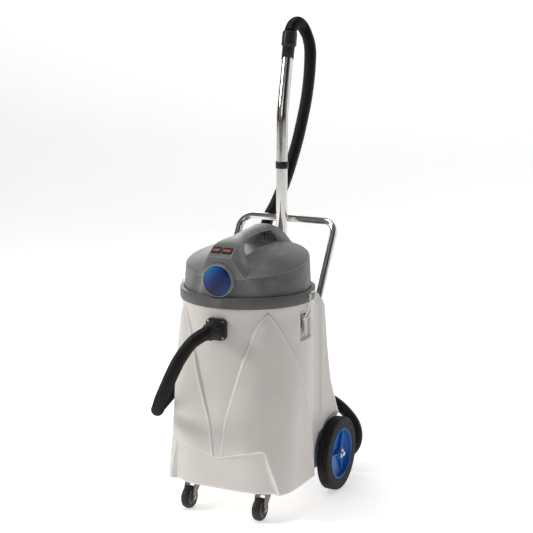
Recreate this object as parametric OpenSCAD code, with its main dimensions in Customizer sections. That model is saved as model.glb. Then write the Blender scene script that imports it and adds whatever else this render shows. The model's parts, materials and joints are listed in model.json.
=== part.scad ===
// Wet pick-up spot extractor on wheels: a moulded tank on two castors and two
// rear wheels, a lift-off motor head held by side latches, a push handle, and a
// suction hose that runs from the front inlet to the wand stored at the back.
// Millimetres. +Z up, front towards -Y, origin on the floor under the middle.

/* [Tank] */
// Height of the tank's lowest edge above the floor
tank_low = 92; // [85:1:100]
// Height of the tank's mouth above the floor
tank_high = 702; // [700:1:704]
// Radius of the tank's mouth
mouth_r = 214; // [212:1:215]
// Thickness of the tank's wall
tank_wall = 6; // [4:1:8]
// Half the width across the two rear columns
column_x = 206; // [200:1:208]
// Distance of the flat back wall from the mouth's axis
back_y = 203; // [198:1:206]
// Radius of the wheel arches
arch_r = 133; // [130:1:136]

/* [Head] */
// Outer radius of the head's bottom ring
ring_r = 220; // [218:1:224]
// Height of the ring's lower edge above the floor
ring_z = 693; // [690:1:695]
// Height of the ring
ring_h = 36; // [34:1:38]
// Radius of the cover's wall where it meets the ring
cover_r = 206; // [203:1:207]
// Thickness of the cover's wall
cover_wall = 4; // [3:1:5]
// Width of the carrying grip

/* [Wheels] */
// Radius of a rear tyre
rear_r = 125; // [120:1:127]
// Width of a rear tyre
rear_w = 46; // [40:1:48]
// Distance of the rear wheels' outer face from the middle
rear_x = 246; // [244:1:252]
// Radius of a castor wheel
castor_r = 37.5; // [35:0.5:38]
// Width of a castor wheel
castor_w = 30; // [24:1:32]
// Radius of the rear axle
axle_r = 8; // [7:0.5:9]

/* [Push handle] */
// Outer diameter of the handle's tube
tube_d = 25; // [22:1:28]
// Half the width between the handle's legs
handle_x = 177; // [170:1:180]
// Radius of the handle's two bends
handle_bend = 44; // [36:1:60]

/* [Wand and hose] */
// Outer diameter of the wand's tubes
wand_d = 38; // [36:0.5:40]
// Angle of the bend in the upper tube
wand_bend = 12; // [5:1:20]
// Outer diameter of the hose
hose_d = 42; // [36:1:42]

/* [Hidden] */
$fn = 64;
e = 0.01;
y_shift = -32.5; // brings the origin under the middle of the machine without its hose
axle_y = 224;
axle_z = 125;
castor_x = 129;
castor_y = -142;
castor_trail = 26;
inlet_z = 627;
inlet_y = -213;
wand_y = 253;
wand_low = 360;
wand_joint = 1094;
bend_z = 1240;
bend_r = 240;
leg_top = [308, 904];
leg_low = [173, 675];
leg_tilt = atan2(leg_top[0] - leg_low[0], leg_top[1] - leg_low[1]);
leg_long = norm(leg_top - leg_low);
latch_z = 646;
latch_x = 201;

module both() { children(); mirror([1, 0, 0]) children(); }
function blend(a, b, t) = let (u = min(1, max(0, t)), s = u * u * (3 - 2 * u)) a + (b - a) * s;

// A closed solid through a list of rings, all with the same number of points.
module skin(rings, lo, hi) {
  n = len(rings[0]);
  m = len(rings);
  pts = [for (r = rings) each r, lo, hi];
  faces = [
    for (i = [0:m - 2]) for (j = [0:n - 1]) let (a = i * n + j, b = i * n + (j + 1) % n)
      each [[a, b + n, b], [a, a + n, b + n]],
    for (j = [0:n - 1]) each [[m * n, j, (j + 1) % n], [m * n + 1, (m - 1) * n + (j + 1) % n, (m - 1) * n + j]]
  ];
  polyhedron(points = pts, faces = faces);
}

// ---- Tank ----
function cone_r(z) = lookup(z, [[90, 221], [300, 220], [500, 218], [702, mouth_r]]);
function square_half(z) = lookup(z, [[90, 222], [209, 219.5], [304, 219], [382, 218], [458, 215], [541, 203], [615, 184], [678, 154], [702, 140]]);
function corner_r(z) = lookup(z, [[90, 266], [158, 262], [213, 256], [268, 251], [513, 235], [593, 229], [647, 224], [678, 219], [689, 213], [702, 213]]);
function column_back(z) = lookup(z, [[230, 300], [245, 296], [290, 272], [383, 228], [510, 203], [650, 196], [680, 192], [702, 184]]);

// Distance to the edge of a rounded square, for an angle of 0 to 45 from a side's middle.
function rounded(s, rc_diag, a) = let (
    rc = min(s - 2, max(4, (sqrt(2) * s - rc_diag) / (sqrt(2) - 1))), c = s - rc, d = c * (cos(a) + sin(a)))
  tan(a) <= c / s ? s / cos(a) : d + sqrt(max(0, rc * rc - 2 * c * c + d * d));
function fold(t) = let (u = abs(((t % 90) + 90) % 90)) u > 45 ? 90 - u : u;

function body_r(t, z) = max(cone_r(z), t < 25 ? rounded(square_half(z), corner_r(z), fold(t)) : 0);

// Outer radius of the tank at angle t (0 along +X, -90 at the front) and height z.
function tank_r(t0, z) = let (
    t = t0 > 90 ? 180 - t0 : t0,
    front = abs(t + 90),
    body = body_r(t, z),
    core = rounded(197, 234, fold(t)),
    edge_z = front < 38.7 ? 204 + 41 * tan(front) / tan(38.7) : 245 - (front - 38.7) * 153 / 10.8,
    lower = front < 49.5 && z < edge_z + 8 ? blend(0, 1, (edge_z + 8 - z) / 16) : 0,
    rear = max(0, sin(t)),
    side = abs(cos(t)),
    back = rear > 0.01 ? back_y / rear : 999,
    col = rear > 0.01 && side > 0.01 ? min(column_x / side, column_back(z) / rear) : 0,
    in_col = z < 691 && t > 26 && t < 61.5)
  in_col ? max(col, min(body, back)) : lower > 0 ? blend(body, min(body, core), lower) : min(body, back);

angles = [for (t = [-90:5:20]) t, 25.9, 26.1, 30, 34, 38, 41, 44, 47, 50, 53, 55.5, 57.7, 60, 61.4, 61.6, 66, 72, 78, 84];
turn = [for (t = angles) t, for (i = [len(angles) - 1:-1:0]) if (angles[i] > -90) 180 - angles[i]];
turn_all = concat([for (t = angles) t], [90], [for (i = [len(angles) - 1:-1:1]) 180 - angles[i]]);
levels = [92, 110, 130, 150, 170, 188, 200, 210, 222, 234, 246, 262, 285, 310, 340, 375, 410, 450, 490, 530, 570, 605, 635, 660, 676, 686, 690.9, 691.1, tank_high];

module tank_outer() skin(
  [for (z = levels) [for (t = turn_all) let (r = tank_r(t, z)) [r * cos(t), r * sin(t), z]]],
  [0, 0, tank_low], [0, 0, tank_high]);

module tank_inner() {
  ts = [for (t = [0:10:350]) t - 90];
  skin([for (z = [tank_low + 16, 150, 200, 250, 275, 330, 450, 560, 650, tank_high + 1])
      [for (t = ts) let (
          u = t > 90 ? 180 - t : t,
          b = z < 262 ? min(body_r(u, z), rounded(196, 232, fold(u))) : body_r(u, z),
          k = sin(t) > 0.1 ? back_y / sin(t) : 999,
          side = sin(t) > 0.2 ? 191 / max(0.01, abs(cos(t))) : 999,
          r = min(b, k, z < 300 ? side : 999) - tank_wall - (z < 130 ? 6 : 0) - (z > 690 ? 2 : 0))
        [r * cos(t), r * sin(t), z]]],
    [0, 0, tank_low + 16], [0, 0, tank_high + 1]);
}
module leg_axis(x) translate([x, leg_low[0], leg_low[1]]) rotate([-leg_tilt, 0, 0]) children();
module column_hollow() // the space inside a rear column, above the wheel
  hull() {
    translate([130, 150, 300]) cube([66, 70, 10]);
    translate([134, 120, 560]) cube([62, 66, 10]);
  }
module tank() color("whitesmoke") resize([0, 0, 0]) difference() {
  union() {
    difference() {
      tank_outer();
      difference() {
        tank_inner();
        both() translate([190, -46, 564]) cube([60, 94, 160]);
        translate([-40, -240, inlet_z - 40]) cube([80, 240 - 196, 80]);
      }
      both() column_hollow();
    }
    intersection() {
      tank_outer();
      both() leg_axis(handle_x) translate([0, 0, -118]) cylinder(r = 19, h = 140);
    }
  }
  both() leg_axis(handle_x) translate([0, 0, -100]) cylinder(r = tube_d / 2 + 0.3, h = 140);
  both() translate([191, axle_y, axle_z]) rotate([0, 90, 0]) cylinder(r = arch_r, h = 200); // wheel arches
  both() translate([136, axle_y - 20, 60]) cube([90, 200, 150]);
  translate([-300, axle_y - 24, 60]) cube([600, 48, axle_z + 22 - 60]); // channel for the axle
  both() translate([196, -40, 571]) cube([60, 82, 119]); // pockets for the latches
  translate([-36, -260, inlet_z - 36]) cube([72, 260 + inlet_y + 0.1, 72]); // flat seat for the inlet
  translate([0, -250, inlet_z]) rotate([-90, 0, 0]) cylinder(r = 26.3, h = 80, $fn = 40);
  hull() { // hollow under the base
    translate([-160, -162, 60]) cube([320, 302, 40.2]);
    translate([-142, -175, 60]) cube([284, 329, 40.2]);
  }
  translate([0, 180, 170]) rotate([-90, 0, 0]) cylinder(r = 18.3, h = 60, $fn = 40);
}

module tank_rim_seal() color("dimgray") translate([0, 0, tank_high]) rotate_extrude() polygon([[203, 0], [213, 0], [213, 3.6], [209, 4.6], [203, 3.6]]);

// ---- Push handle ----
module push_handle() color("silver") leg_axis(0) {
  long = leg_long;
  for (s = [-1, 1]) translate([s * handle_x, 0, -98]) tube(tube_d / 2, 1.5, long + 98 - handle_bend);
  for (s = [-1, 1]) translate([s * (handle_x - handle_bend), 0, long - handle_bend]) mirror([s < 0 ? 1 : 0, 0, 0])
      rotate([90, 0, 0]) rotate_extrude(angle = 90) translate([handle_bend, 0]) ring2(tube_d / 2, 1.5);
  translate([-(handle_x - handle_bend), 0, long]) rotate([0, 90, 0]) tube(tube_d / 2, 1.5, 2 * (handle_x - handle_bend));
}
module tube(r, t, h) difference() { cylinder(r = r, h = h); translate([0, 0, -1]) cylinder(r = r - t, h = h + 2); }
module ring2(r, t) difference() { circle(r); circle(r - t); }
module handle_screws() color("silver") both() leg_axis(handle_x) translate([29.2, 0, -44]) rotate([0, 90, 0]) cylinder(r = 6.5, h = 3.5);

// ---- Rear axle and wheels ----
module rear_axle() color("silver") translate([-(rear_x + 6), axle_y, axle_z]) rotate([0, 90, 0]) cylinder(r = axle_r, h = 2 * rear_x + 12);
module axle_brackets() color("gray") both() translate([110, axle_y, axle_z]) difference() {
  union() {
    translate([-12, -14, -14]) cube([24, 28, 14 + 22 - 0.1]);
    translate([-12, -24 + 0.2, 10]) cube([24, 47.6, 11.9]);
  }
  translate([-20, 0, 0]) rotate([0, 90, 0]) cylinder(r = axle_r, h = 40);
  for (s = [-1, 1]) translate([0, s * 19, 0]) cylinder(r = 2.6, h = 40);
}
module axle_screws() color("silver") both() for (s = [-1, 1]) translate([110, axle_y + s * 19, axle_z]) {
  translate([0, 0, 10.0]) cylinder(r = 2.55, h = 11.8);
  translate([0, 0, 6.9]) cylinder(r = 4.4, h = 3.1);
}
module axle_cap_nuts() color("silver") both() translate([rear_x + 1.2, axle_y, axle_z]) rotate([0, 90, 0]) difference() {
  union() {
    cylinder(r = 12.5, h = 3);
    cylinder(r = 11, h = 7, $fn = 6);
    translate([0, 0, 7]) cylinder(r1 = 9.5, r2 = 6, h = 4);
  }
  translate([0, 0, -1]) cylinder(r = axle_r, h = 5.8);
}
module axle_washers() color("silver") both() for (x = [rear_x - rear_w - 3.4, rear_x - 0.8]) translate([x, axle_y, axle_z]) rotate([0, 90, 0]) difference() {
  cylinder(r = 15, h = 1.8);
  translate([0, 0, -1]) cylinder(r = axle_r + 0.3, h = 4);
}
// A dished wheel centre with three ribs; drawn with its outer face at x = 0.
module rear_hub() color("royalblue") rotate([0, -90, 0]) difference() {
  union() {
    rotate_extrude() polygon([[86, 0], [86, 3], [80, 6], [80, rear_w - 6], [86, rear_w - 3], [86, rear_w], [74, rear_w], [74, 24], [16, 22], [16, rear_w], [axle_r + 0.06, rear_w], [axle_r + 0.06, 1.2], [15, 1.2], [16, 16], [74, 18], [76, 0]]);
    for (a = [50, 170, 290]) rotate([0, 0, a]) translate([12, -4, 8]) cube([64, 8, 12]);
  }
  translate([0, 0, -1]) cylinder(r = axle_r + 0.06, h = rear_w + 2);
}
module rear_tyre() color("#2b2b2b") rotate([0, -90, 0]) rotate_extrude() polygon([
    [86.02, 0], [100, -0], [112, 1.5], [119, 4], [123.5, 9], [rear_r, 15], [rear_r, 19], [123.6, 20], [123.6, 21.5], [rear_r, 22.5],
    [rear_r, rear_w - 22.5], [123.6, rear_w - 21.5], [123.6, rear_w - 20], [rear_r, rear_w - 19], [rear_r, rear_w - 15], [123.5, rear_w - 9], [119, rear_w - 4], [112, rear_w - 1.5], [100, rear_w], [86.02, rear_w],
    [86.02, rear_w - 2.99], [80.02, rear_w - 5.99], [80.02, 5.99], [86.02, 2.99]]);
module at_rear(s) translate([s * rear_x, axle_y, axle_z]) mirror([s < 0 ? 1 : 0, 0, 0]) children();

// ---- Castors ----
module castor_plates() color("silver") both() translate([castor_x, castor_y, 0]) {
  difference() {
    translate([0, 0, 97.6]) rounded_plate(50, 8, 2.5);
    for (x = [-17.5, 17.5], y = [-17.5, 17.5]) translate([x, y, 90]) cylinder(r = 3.2, h = 20);
  }
  translate([0, 0, 92]) cylinder(r = 18.4, h = 5.7);
  translate([0, 0, 80]) cylinder(r = 5, h = 12.1);
  translate([0, 0, 79.4]) cylinder(r = 8, h = 4);
}
module castor_bolts() color("silver") both() for (x = [-17.5, 17.5], y = [-17.5, 17.5]) translate([castor_x + x, castor_y + y, 0]) {
  translate([0, 0, 97.5]) cylinder(r = 3.1, h = 2.6);
  translate([0, 0, 93.5]) cylinder(r = 5.6, h = 4.1, $fn = 6);
}
module castor_fork() color("silver") difference() {
  union() {
    translate([0, 0, 86.6]) cylinder(r = 22, h = 5);
    translate([0, 0, 83.8]) cylinder(r = 24, h = 3);
    for (s = [-1, 1]) translate([s > 0 ? castor_w / 2 + 1.2 : -castor_w / 2 - 3.7, 0, 0]) rotate([90, 0, 90])
        linear_extrude(2.5) polygon([[-20, 84.5], [20, 84.5], [16, 72], [-castor_trail + 9, castor_r - 8], [-castor_trail, castor_r - 11], [-castor_trail - 9, castor_r - 6], [-castor_trail - 9, castor_r + 6]]);
  }
  translate([0, 0, 70]) cylinder(r = 5.06, h = 40);
  translate([-40, -castor_trail, castor_r]) rotate([0, 90, 0]) cylinder(r = 4, h = 80);
}
module castor_axle() color("silver") translate([0, -castor_trail, castor_r]) rotate([0, 90, 0]) {
  translate([0, 0, -castor_w / 2 - 6]) cylinder(r = 4, h = castor_w + 12);
  for (z = [-castor_w / 2 - 7.7, castor_w / 2 + 3.7]) translate([0, 0, z]) cylinder(r = 7, h = 4, $fn = z < 0 ? 6 : 64);
}
module castor_hub() color("gray") translate([0, -castor_trail, castor_r]) rotate([0, 90, 0]) rotate_extrude() polygon([
    [4.06, -castor_w / 2 - 0.8], [8, -castor_w / 2 - 0.8], [8.5, -castor_w / 2 + 3], [12, -castor_w / 2 + 3], [12.5, -castor_w / 2 + 1], [15, -castor_w / 2 + 1], [15.5, -castor_w / 2 + 4], [19, -castor_w / 2 + 4], [19.5, -castor_w / 2 + 1.5], [23, -castor_w / 2 + 1.5],
    [23, castor_w / 2 - 1.5], [19.5, castor_w / 2 - 1.5], [19, castor_w / 2 - 4], [15.5, castor_w / 2 - 4], [15, castor_w / 2 - 1], [12.5, castor_w / 2 - 1], [12, castor_w / 2 - 3], [8.5, castor_w / 2 - 3], [8, castor_w / 2 + 0.8], [4.06, castor_w / 2 + 0.8]]);
module castor_tyre() color("#333333") translate([0, -castor_trail, castor_r]) rotate([0, 90, 0]) rotate_extrude() polygon([
    [23.02, -castor_w / 2 + 1.5], [27, -castor_w / 2], [31, -castor_w / 2 + 0.8], [35, -castor_w / 2 + 4], [37, -castor_w / 2 + 9], [castor_r, -5], [castor_r, 5], [37, castor_w / 2 - 9], [35, castor_w / 2 - 4], [31, castor_w / 2 - 0.8], [27, castor_w / 2], [23.02, castor_w / 2 - 1.5]]);
module at_castor(s) translate([s * castor_x, castor_y, 0]) children();

// ---- Inlet ----
module rounded_plate(w, r, h) linear_extrude(h) union() {
  square([w, w - 2 * r], center = true);
  square([w - 2 * r, w], center = true);
  for (x = [-1, 1], y = [-1, 1]) translate([x * (w / 2 - r), y * (w / 2 - r)]) circle(r);
}
module inlet_flange() color("#262626") translate([0, inlet_y, inlet_z]) rotate([90, 0, 0]) difference() {
  union() {
    rounded_plate(70, 16, 13);
    translate([0, 0, 13]) rounded_plate(62, 20, 4);
    translate([0, 0, -22]) cylinder(r = 26, h = 23);
    translate([0, 0, 16]) cylinder(r = 25, h = 12);
  }
  translate([0, 0, -30]) cylinder(r = 21, h = 70);
  for (x = [-1, 1], y = [-1, 1]) translate([x * 26, y * 26, -1]) cylinder(r = 2.3, h = 30);
  for (x = [-1, 1], y = [-1, 1]) translate([x * 26, y * 26, 10]) cylinder(r = 4.6, h = 30);
}
module inlet_screws() color("silver") translate([0, inlet_y, inlet_z]) rotate([90, 0, 0]) for (x = [-1, 1], y = [-1, 1]) translate([x * 26, y * 26, 0]) {
  cylinder(r = 2.2, h = 10.1);
  translate([0, 0, 10.05]) cylinder(r = 4.2, h = 3);
}
module inlet_deflector() color("#303030") translate([0, inlet_y + 22.1, inlet_z]) {
  rotate([-90, 0, 0]) tube(25, 2.5, 12);
  translate([0, 12, -36]) rotate([0, -90, 0]) rotate_extrude(angle = 90) translate([36, 0]) ring2(25, 2.5);
}

// ---- Latches, drawn on the +X side ----
module latch_plates() color("silver") both() difference() {
  union() {
    translate([196.05, -15, 592]) cube([1.6, 30, 72]);
    for (z = [600, 628]) translate([197.4, 0, z]) rotate([0, 90, 0]) cylinder(r = 4.2, h = 1.3);
    for (y = [-15, 12.6]) translate([196.05, y, 639.5]) cube([8.5, 2.4, 13]);
  }
  translate([latch_x, -20, latch_z]) rotate([-90, 0, 0]) cylinder(r = 2, h = 40);
}
module latch_lever() color("silver") union() {
  difference() {
    union() {
      for (y = [-11.9, 9.9]) translate([latch_x, y, 0]) rotate([-90, 0, 0]) linear_extrude(2)
          union() {
            translate([0, -latch_z]) circle(3.2);
            polygon([[-2.9, -latch_z - 1], [2.9, -latch_z - 1], [6.6, -latch_z + 9], [7.5, -616], [6.6, -594], [3, -594], [1.5, -616]]);
          }
      translate([latch_x + 5, -11.9, 594]) cube([1.6, 23.8, 34]);
      translate([latch_x + 7.3, -9, 583.9]) rotate([0, -12, 0]) cube([1.6, 18, 11.2]);
    }
    translate([latch_x + 4.4, -40, latch_z - 12]) rotate([-90, 0, 0]) cylinder(r = 1.8, h = 80);
  }
  translate([latch_x, -14.8, latch_z]) rotate([-90, 0, 0]) cylinder(r = 1.94, h = 29.6);
}
bail_top = [232.6, 728];
module latch_bail() color("silver") {
  p = [latch_x + 4.4, latch_z - 12];
  a = atan2(bail_top[0] - p[0], bail_top[1] - p[1]);
  l = norm(bail_top - p);
  translate([p[0], 0, p[1]]) rotate([0, a, 0]) {
    for (s = [-1, 1]) translate([0, s * 17.5, 0]) cylinder(r = 1.7, h = l - 6);
    for (s = [-1, 1]) translate([0, s * 11.5, l - 6]) rotate([0, 0, s > 0 ? 0 : 180]) rotate([90, 0, 90]) rotate_extrude(angle = 90) translate([6, 0]) circle(1.7);
    translate([0, -11.5, l]) rotate([-90, 0, 0]) cylinder(r = 1.7, h = 23);
    for (s = [-1, 1]) translate([0, s > 0 ? 9.6 : -17.5, 0]) rotate([-90, 0, 0]) cylinder(r = 1.7, h = 7.9);
  }
}
module latch_catches() color("silver") both() union() {
  translate([ring_r + 0.01, -10, 703]) cube([2.5, 20, 18]);
  translate([ring_r + 2, -10, 714]) rotate([-90, 0, 0]) linear_extrude(20) polygon([[0, -7], [4.4, -7], [4.4, -5], [0, 1]]);
}

// ---- Wand holder and drain ----
module wand_holder() color("#2b2b2b") difference() {
  union() {
    translate([-30, back_y + 0.1, 560]) cube([60, 5, 110]);
    for (z = [562, 644]) translate([0, wand_y, z]) cylinder(r = wand_d / 2 + 5, h = 24);
    for (z = [562, 644]) translate([-16, back_y + 2, z]) cube([32, 30, 24]);
  }
  translate([0, wand_y, 500]) cylinder(r = wand_d / 2 + 0.4, h = 300);
  for (x = [-23, 23], z = [600, 630]) translate([x, back_y - 5, z]) rotate([-90, 0, 0]) cylinder(r = 2.3, h = 20);
}
module wand_holder_screws() color("silver") for (x = [-23, 23], z = [600, 630]) translate([x, back_y + 0.15, z]) rotate([-90, 0, 0]) {
  cylinder(r = 2.2, h = 5);
  translate([0, 0, 4.95]) cylinder(r = 4.2, h = 2.4);
}
module drain_spout() color("#2b2b2b") translate([0, 197, 170]) rotate([-90, 0, 0]) difference() {
  union() {
    cylinder(r = 18, h = 30);
    translate([0, 0, 6.2]) cylinder(r = 26, h = 4);
  }
  translate([0, 0, -1]) cylinder(r = 13, h = 40);
}
module drain_cap() color("dimgray") translate([0, 197, 170]) rotate([-90, 0, 0]) difference() {
  union() {
    translate([0, 0, 13]) cylinder(r = 22, h = 21);
    for (a = [0:30:330]) rotate([0, 0, a]) translate([21, -2, 13]) cube([2.4, 4, 20]);
  }
  translate([0, 0, 12]) cylinder(r = 18.1, h = 18.3);
}

// ---- Head ----
// Height of the cover's crease, and of its top: a dome that leans up towards the back.
function crease_z(y) = 818 + y * 0.15;
function dome_z(x, y, top) = crease_z(y) + top * (1 - pow((x * x + y * y) / 40000, 1.2));
module cover_solid(d, top) {
  ts = [for (t = [0:9:351]) t];
  zs = [0, 0.5, 1];
  skin([
      for (k = zs) [for (t = ts) let (r = cover_r - 6 * k - d, y = r * sin(t)) [r * cos(t), y, ring_z + ring_h - 3 + (crease_z(y) - ring_z - ring_h + 3 - d) * k - (k == 0 ? d * 0.3 : 0)]],
      for (k = [0.93, 0.8, 0.6, 0.4, 0.2]) [for (t = ts) let (r = 200 * k, x = r * cos(t), y = r * sin(t)) [x * (1 - d / 200), y * (1 - d / 200), dome_z(x, y, top) - d]]
    ], [0, 0, ring_z + ring_h - 3 - d * 0.3], [0, 0, dome_z(0, 0, top) - d]);
}
// The grip from front to back: [y, height of its side edges, half width there, crown, flare of its sides].
grip_line = [[-201, 853.0, 41, 0.3, 0.56], [-185, 863.9, 40.5, 0.3, 0.56], [-162, 879.25, 40, 0.5, 0.56], [-140, 888.5, 37.5, 2, 0.5], [-111, 893.5, 33, 3.5, 0.42],
  [-80, 896, 27.5, 4.5, 0.3], [-50, 899, 23.5, 5, 0.25], [-6, 904.5, 21, 5, 0.25], [40, 907.5, 21.5, 5.5, 0.3], [75, 909.5, 25, 6, 0.5],
  [105, 908, 30, 7.5, 0.85], [130, 903.5, 35.5, 8.5, 0.9], [150, 895, 42.5, 9, 0.9], [162, 884, 50, 8, 0.9], [171, 869, 60, 5, 0.9], [180, 848, 70, 1, 0.7], [184, 836, 74, 0.3, 0.5]];
grip_gap = [[-115, 843], [-113.5, 856], [-108, 868], [-96, 874.5], [-80, 879.5], [-46, 888.5], [-8, 893], [41, 896], [69, 897], [97, 897.5], [99, 880], [100, 856], [100.5, 848]];
function grip_half(g) = [[g[2] + (g[1] - 765) * g[4], 765], [g[2] + (g[1] - 812) * g[4], 812], [g[2], g[1]], [g[2] * 0.7, g[1] + g[3] * 0.65], [g[2] * 0.35, g[1] + g[3] * 0.92]];
module grip_block() intersection() {
  skin([for (g = grip_line) let (h = grip_half(g)) [for (p = h) [-p[0], g[0], p[1]], [0, g[0], g[1] + g[3]], for (i = [len(h) - 1:-1:0]) [h[i][0], g[0], h[i][1]]]],
    [0, grip_line[0][0], 800], [0, grip_line[len(grip_line) - 1][0], 800]);
  translate([0, 0, 740]) linear_extrude(200) // round, with a flat behind the badge
    polygon([[-32.8, -195.7], [32.8, -195.7], for (t = [-78:5.6:258]) [198.51 * cos(t), 198.51 * sin(t)]]);
}
module grip_opening() { // clear through above the dome, and a shallow well under the hand
  intersection() {
    translate([-120, 0, 0]) rotate([90, 0, 90]) linear_extrude(240) polygon(grip_gap);
    union() {
      translate([-130, -160, 861.3]) cube([260, 320, 80]);
      translate([0, 0, 845]) linear_extrude(17) polygon([[-34, -150], [34, -150], [33, -70], [46, -12], [60, 60], [66, 120], [-66, 120], [-60, 60], [-46, -12], [-33, -70]]);
    }
  }
}
module head_cover() color("gray") resize([0, 0, 0]) difference() {
  union() {
    cover_solid(0, 40);
    grip_block();
  }
  difference() {
    cover_solid(cover_wall, 26.5);
    translate([0, -202, 779]) rotate([-90, 0, 0]) cylinder(r = 58, h = 14);
  }
  grip_opening();
  translate([-32, -190, 800]) cube([64, 40, 52]); // hollow behind the switches
  for (x = [-20:10:20]) translate([x - 1.9, 92, 862]) cube([3.8, 40, 22]); // cooling slots
  translate([0, -230, 779]) rotate([-90, 0, 0]) cylinder(r = 54.8, h = 33.9);
  for (s = [-1, 1]) at_switch(s) translate([-14.6, -11.6, -40]) cube([29.2, 23.2, 60]); // switch holes
  translate([60, 170, 775]) rotate([-90, 0, 0]) cylinder(r = 10.2, h = 60, $fn = 24);
  translate([60, 165, 775]) rotate([-90, 0, 0]) cylinder(r = 14.6, h = 22.2, $fn = 24);
}
module head_base() color("#5d6063") difference() {
  union() {
    translate([0, 0, ring_z]) difference() {
      cylinder(r = ring_r, h = ring_h);
      translate([0, 0, -1]) cylinder(r = 215.2, h = 15);
      translate([0, 0, 20]) cylinder(r = cover_r + 0.6, h = 30);
    }
    translate([0, 0, 707]) cylinder(r = 216, h = 6);
  }
  translate([0, -230, 779]) rotate([-90, 0, 0]) cylinder(r = 54.8, h = 34);
  for (s = [-1, 1]) translate([s * 86, 0, 690]) cylinder(r = 34, h = 40);
  for (a = [45:90:315]) rotate([0, 0, a]) translate([194, 0, 690]) cylinder(r = 2.6, h = 40);
}
module head_screws() color("silver") for (a = [45:90:315]) rotate([0, 0, a]) translate([194, 0, 0]) {
  translate([0, 0, 703.8]) cylinder(r = 4.6, h = 3.2);
  translate([0, 0, 706.9]) cylinder(r = 2.55, h = 16);
}
module badge_bezel() color("darkgray") translate([0, -196.2, 779]) rotate([90, 0, 0]) rotate_extrude() polygon([[0, 0], [50, 0], [54.5, 4], [54.5, 18], [52.5, 20], [49.2, 17.5], [49.2, 14], [0, 14]]);
module badge_disc() color("mediumblue") translate([0, -196.2 - 14.02, 779]) rotate([90, 0, 0]) rotate_extrude() polygon([[0, 0], [48.9, 0], [48.9, 1.6], [30, 3.4], [0, 4]]);
switch_at = [19, -176.5, 870.1];
switch_tilt = 33.7;
module at_switch(s) translate([s * switch_at[0], switch_at[1], switch_at[2]]) rotate([switch_tilt, 0, 0]) children();
module switch_frames() color("#1c1c1c") for (s = [-1, 1]) at_switch(s) difference() {
  union() {
    translate([-16.5, -13.5, 0.1]) cube([33, 27, 3]);
    translate([-14.4, -11.4, -20]) cube([28.8, 22.8, 21]);
  }
  translate([-12.2, -9.2, -8]) cube([24.4, 18.4, 14]);
  translate([-30, 0, -1]) rotate([0, 90, 0]) cylinder(r = 1.5, h = 60);
}
module switch_rocker() color("firebrick") {
  rotate([0, 90, 0]) translate([0, 0, -11.8]) linear_extrude(23.6) polygon([[-2.4, -7.8], [-7, -7.8], [-3.3, 0], [-4.2, 7.8], [0.4, 7.8], [3, 3], [3, -3]]);
  translate([-14.2, 0, -1]) rotate([0, 90, 0]) cylinder(r = 1.44, h = 28.4);
}
module motor_fan_housings() color("silver") both() translate([86, 0, 716.1]) difference() {
  union() {
    cylinder(r = 66, h = 48);
    translate([0, 0, 48]) cylinder(r = 44, h = 4);
  }
  translate([0, 0, 4]) cylinder(r = 62, h = 40);
  translate([0, 0, -1]) cylinder(r = 28, h = 8);
  translate([0, 0, 40]) cylinder(r = 9, h = 20);
}
module motor_bodies() color("dimgray") both() translate([86, 0, 768.2]) difference() {
  union() {
    cylinder(r = 42, h = 34);
    translate([0, 0, 34]) cylinder(r = 30, h = 10);
    for (a = [0, 180]) rotate([0, 0, a]) translate([26, -8, 34]) cube([22, 16, 9]);
  }
  translate([0, 0, -1]) cylinder(r = 6.05, h = 40);
}
module motor_gaskets() color("#222222") both() translate([86, 0, 713.05]) difference() { cylinder(r = 60, h = 3); translate([0, 0, -1]) cylinder(r = 34, h = 6); }
module rotor() color("silver") {
  translate([0, 0, 724]) cylinder(r = 58, h = 2);
  translate([0, 0, 746]) cylinder(r = 58, h = 2);
  for (a = [0:45:315]) rotate([0, 0, a]) translate([16, -1, 725.9]) cube([40, 2, 20.2]);
  translate([0, 0, 722]) cylinder(r = 6, h = 80);
}
module float_cage() color("#303030") difference() {
  translate([0, 0, 560]) cylinder(r = 62, h = 146.9);
  translate([0, 0, 564]) cylinder(r = 58, h = 160);
  for (a = [0:30:150]) rotate([0, 0, a]) translate([-80, -9, 572]) cube([160, 18, 96]);
  for (a = [0:60:300]) rotate([0, 0, a]) translate([34, 0, 550]) cylinder(r = 9, h = 20);
}
module float_ball() color("whitesmoke") translate([0, 0, 564.3 + 40]) sphere(r = 40);
module cable_gland() color("#1c1c1c") translate([60, 186, 775]) rotate([-90, 0, 0]) difference() {
  union() {
    cylinder(r = 10, h = 14);
    translate([0, 0, 13.8]) cylinder(r = 14, h = 5, $fn = 6);
    translate([0, 0, 18.8]) cylinder(r1 = 11.5, r2 = 8, h = 9);
    translate([0, 0, -3]) cylinder(r = 14, h = 4, $fn = 6);
  }
  translate([0, 0, -10]) cylinder(r = 4, h = 50);
}

// ---- Wand ----
module wand_axis(h) translate([0, wand_y, h]) children();
module wand_lower_tube() color("silver") wand_axis(wand_low) difference() {
  union() {
    cylinder(r = wand_d / 2 - 1, h = 62);
    translate([0, 0, 60]) cylinder(r = wand_d / 2, h = wand_joint - wand_low - 60);
  }
  translate([0, 0, -1]) cylinder(r = wand_d / 2 - 2.4, h = wand_joint - wand_low + 2);
}
module wand_stop_ring() color("#1c1c1c") wand_axis(668.3) difference() { // rests on the holder's upper clip
  cylinder(r = 25, h = 12);
  translate([0, 0, -1]) cylinder(r = wand_d / 2, h = 30);
}
module wand_joint_ring() color("#1c1c1c") wand_axis(wand_joint - 12) difference() {
  cylinder(r = 21.6, h = 24);
  translate([0, 0, -1]) cylinder(r = wand_d / 2, h = 30);
}
module bent() translate([0, wand_y + bend_r, bend_z]) rotate([0, 0, 0]) rotate([-wand_bend, 0, 0]) translate([0, -bend_r, 0]) children();
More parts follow.
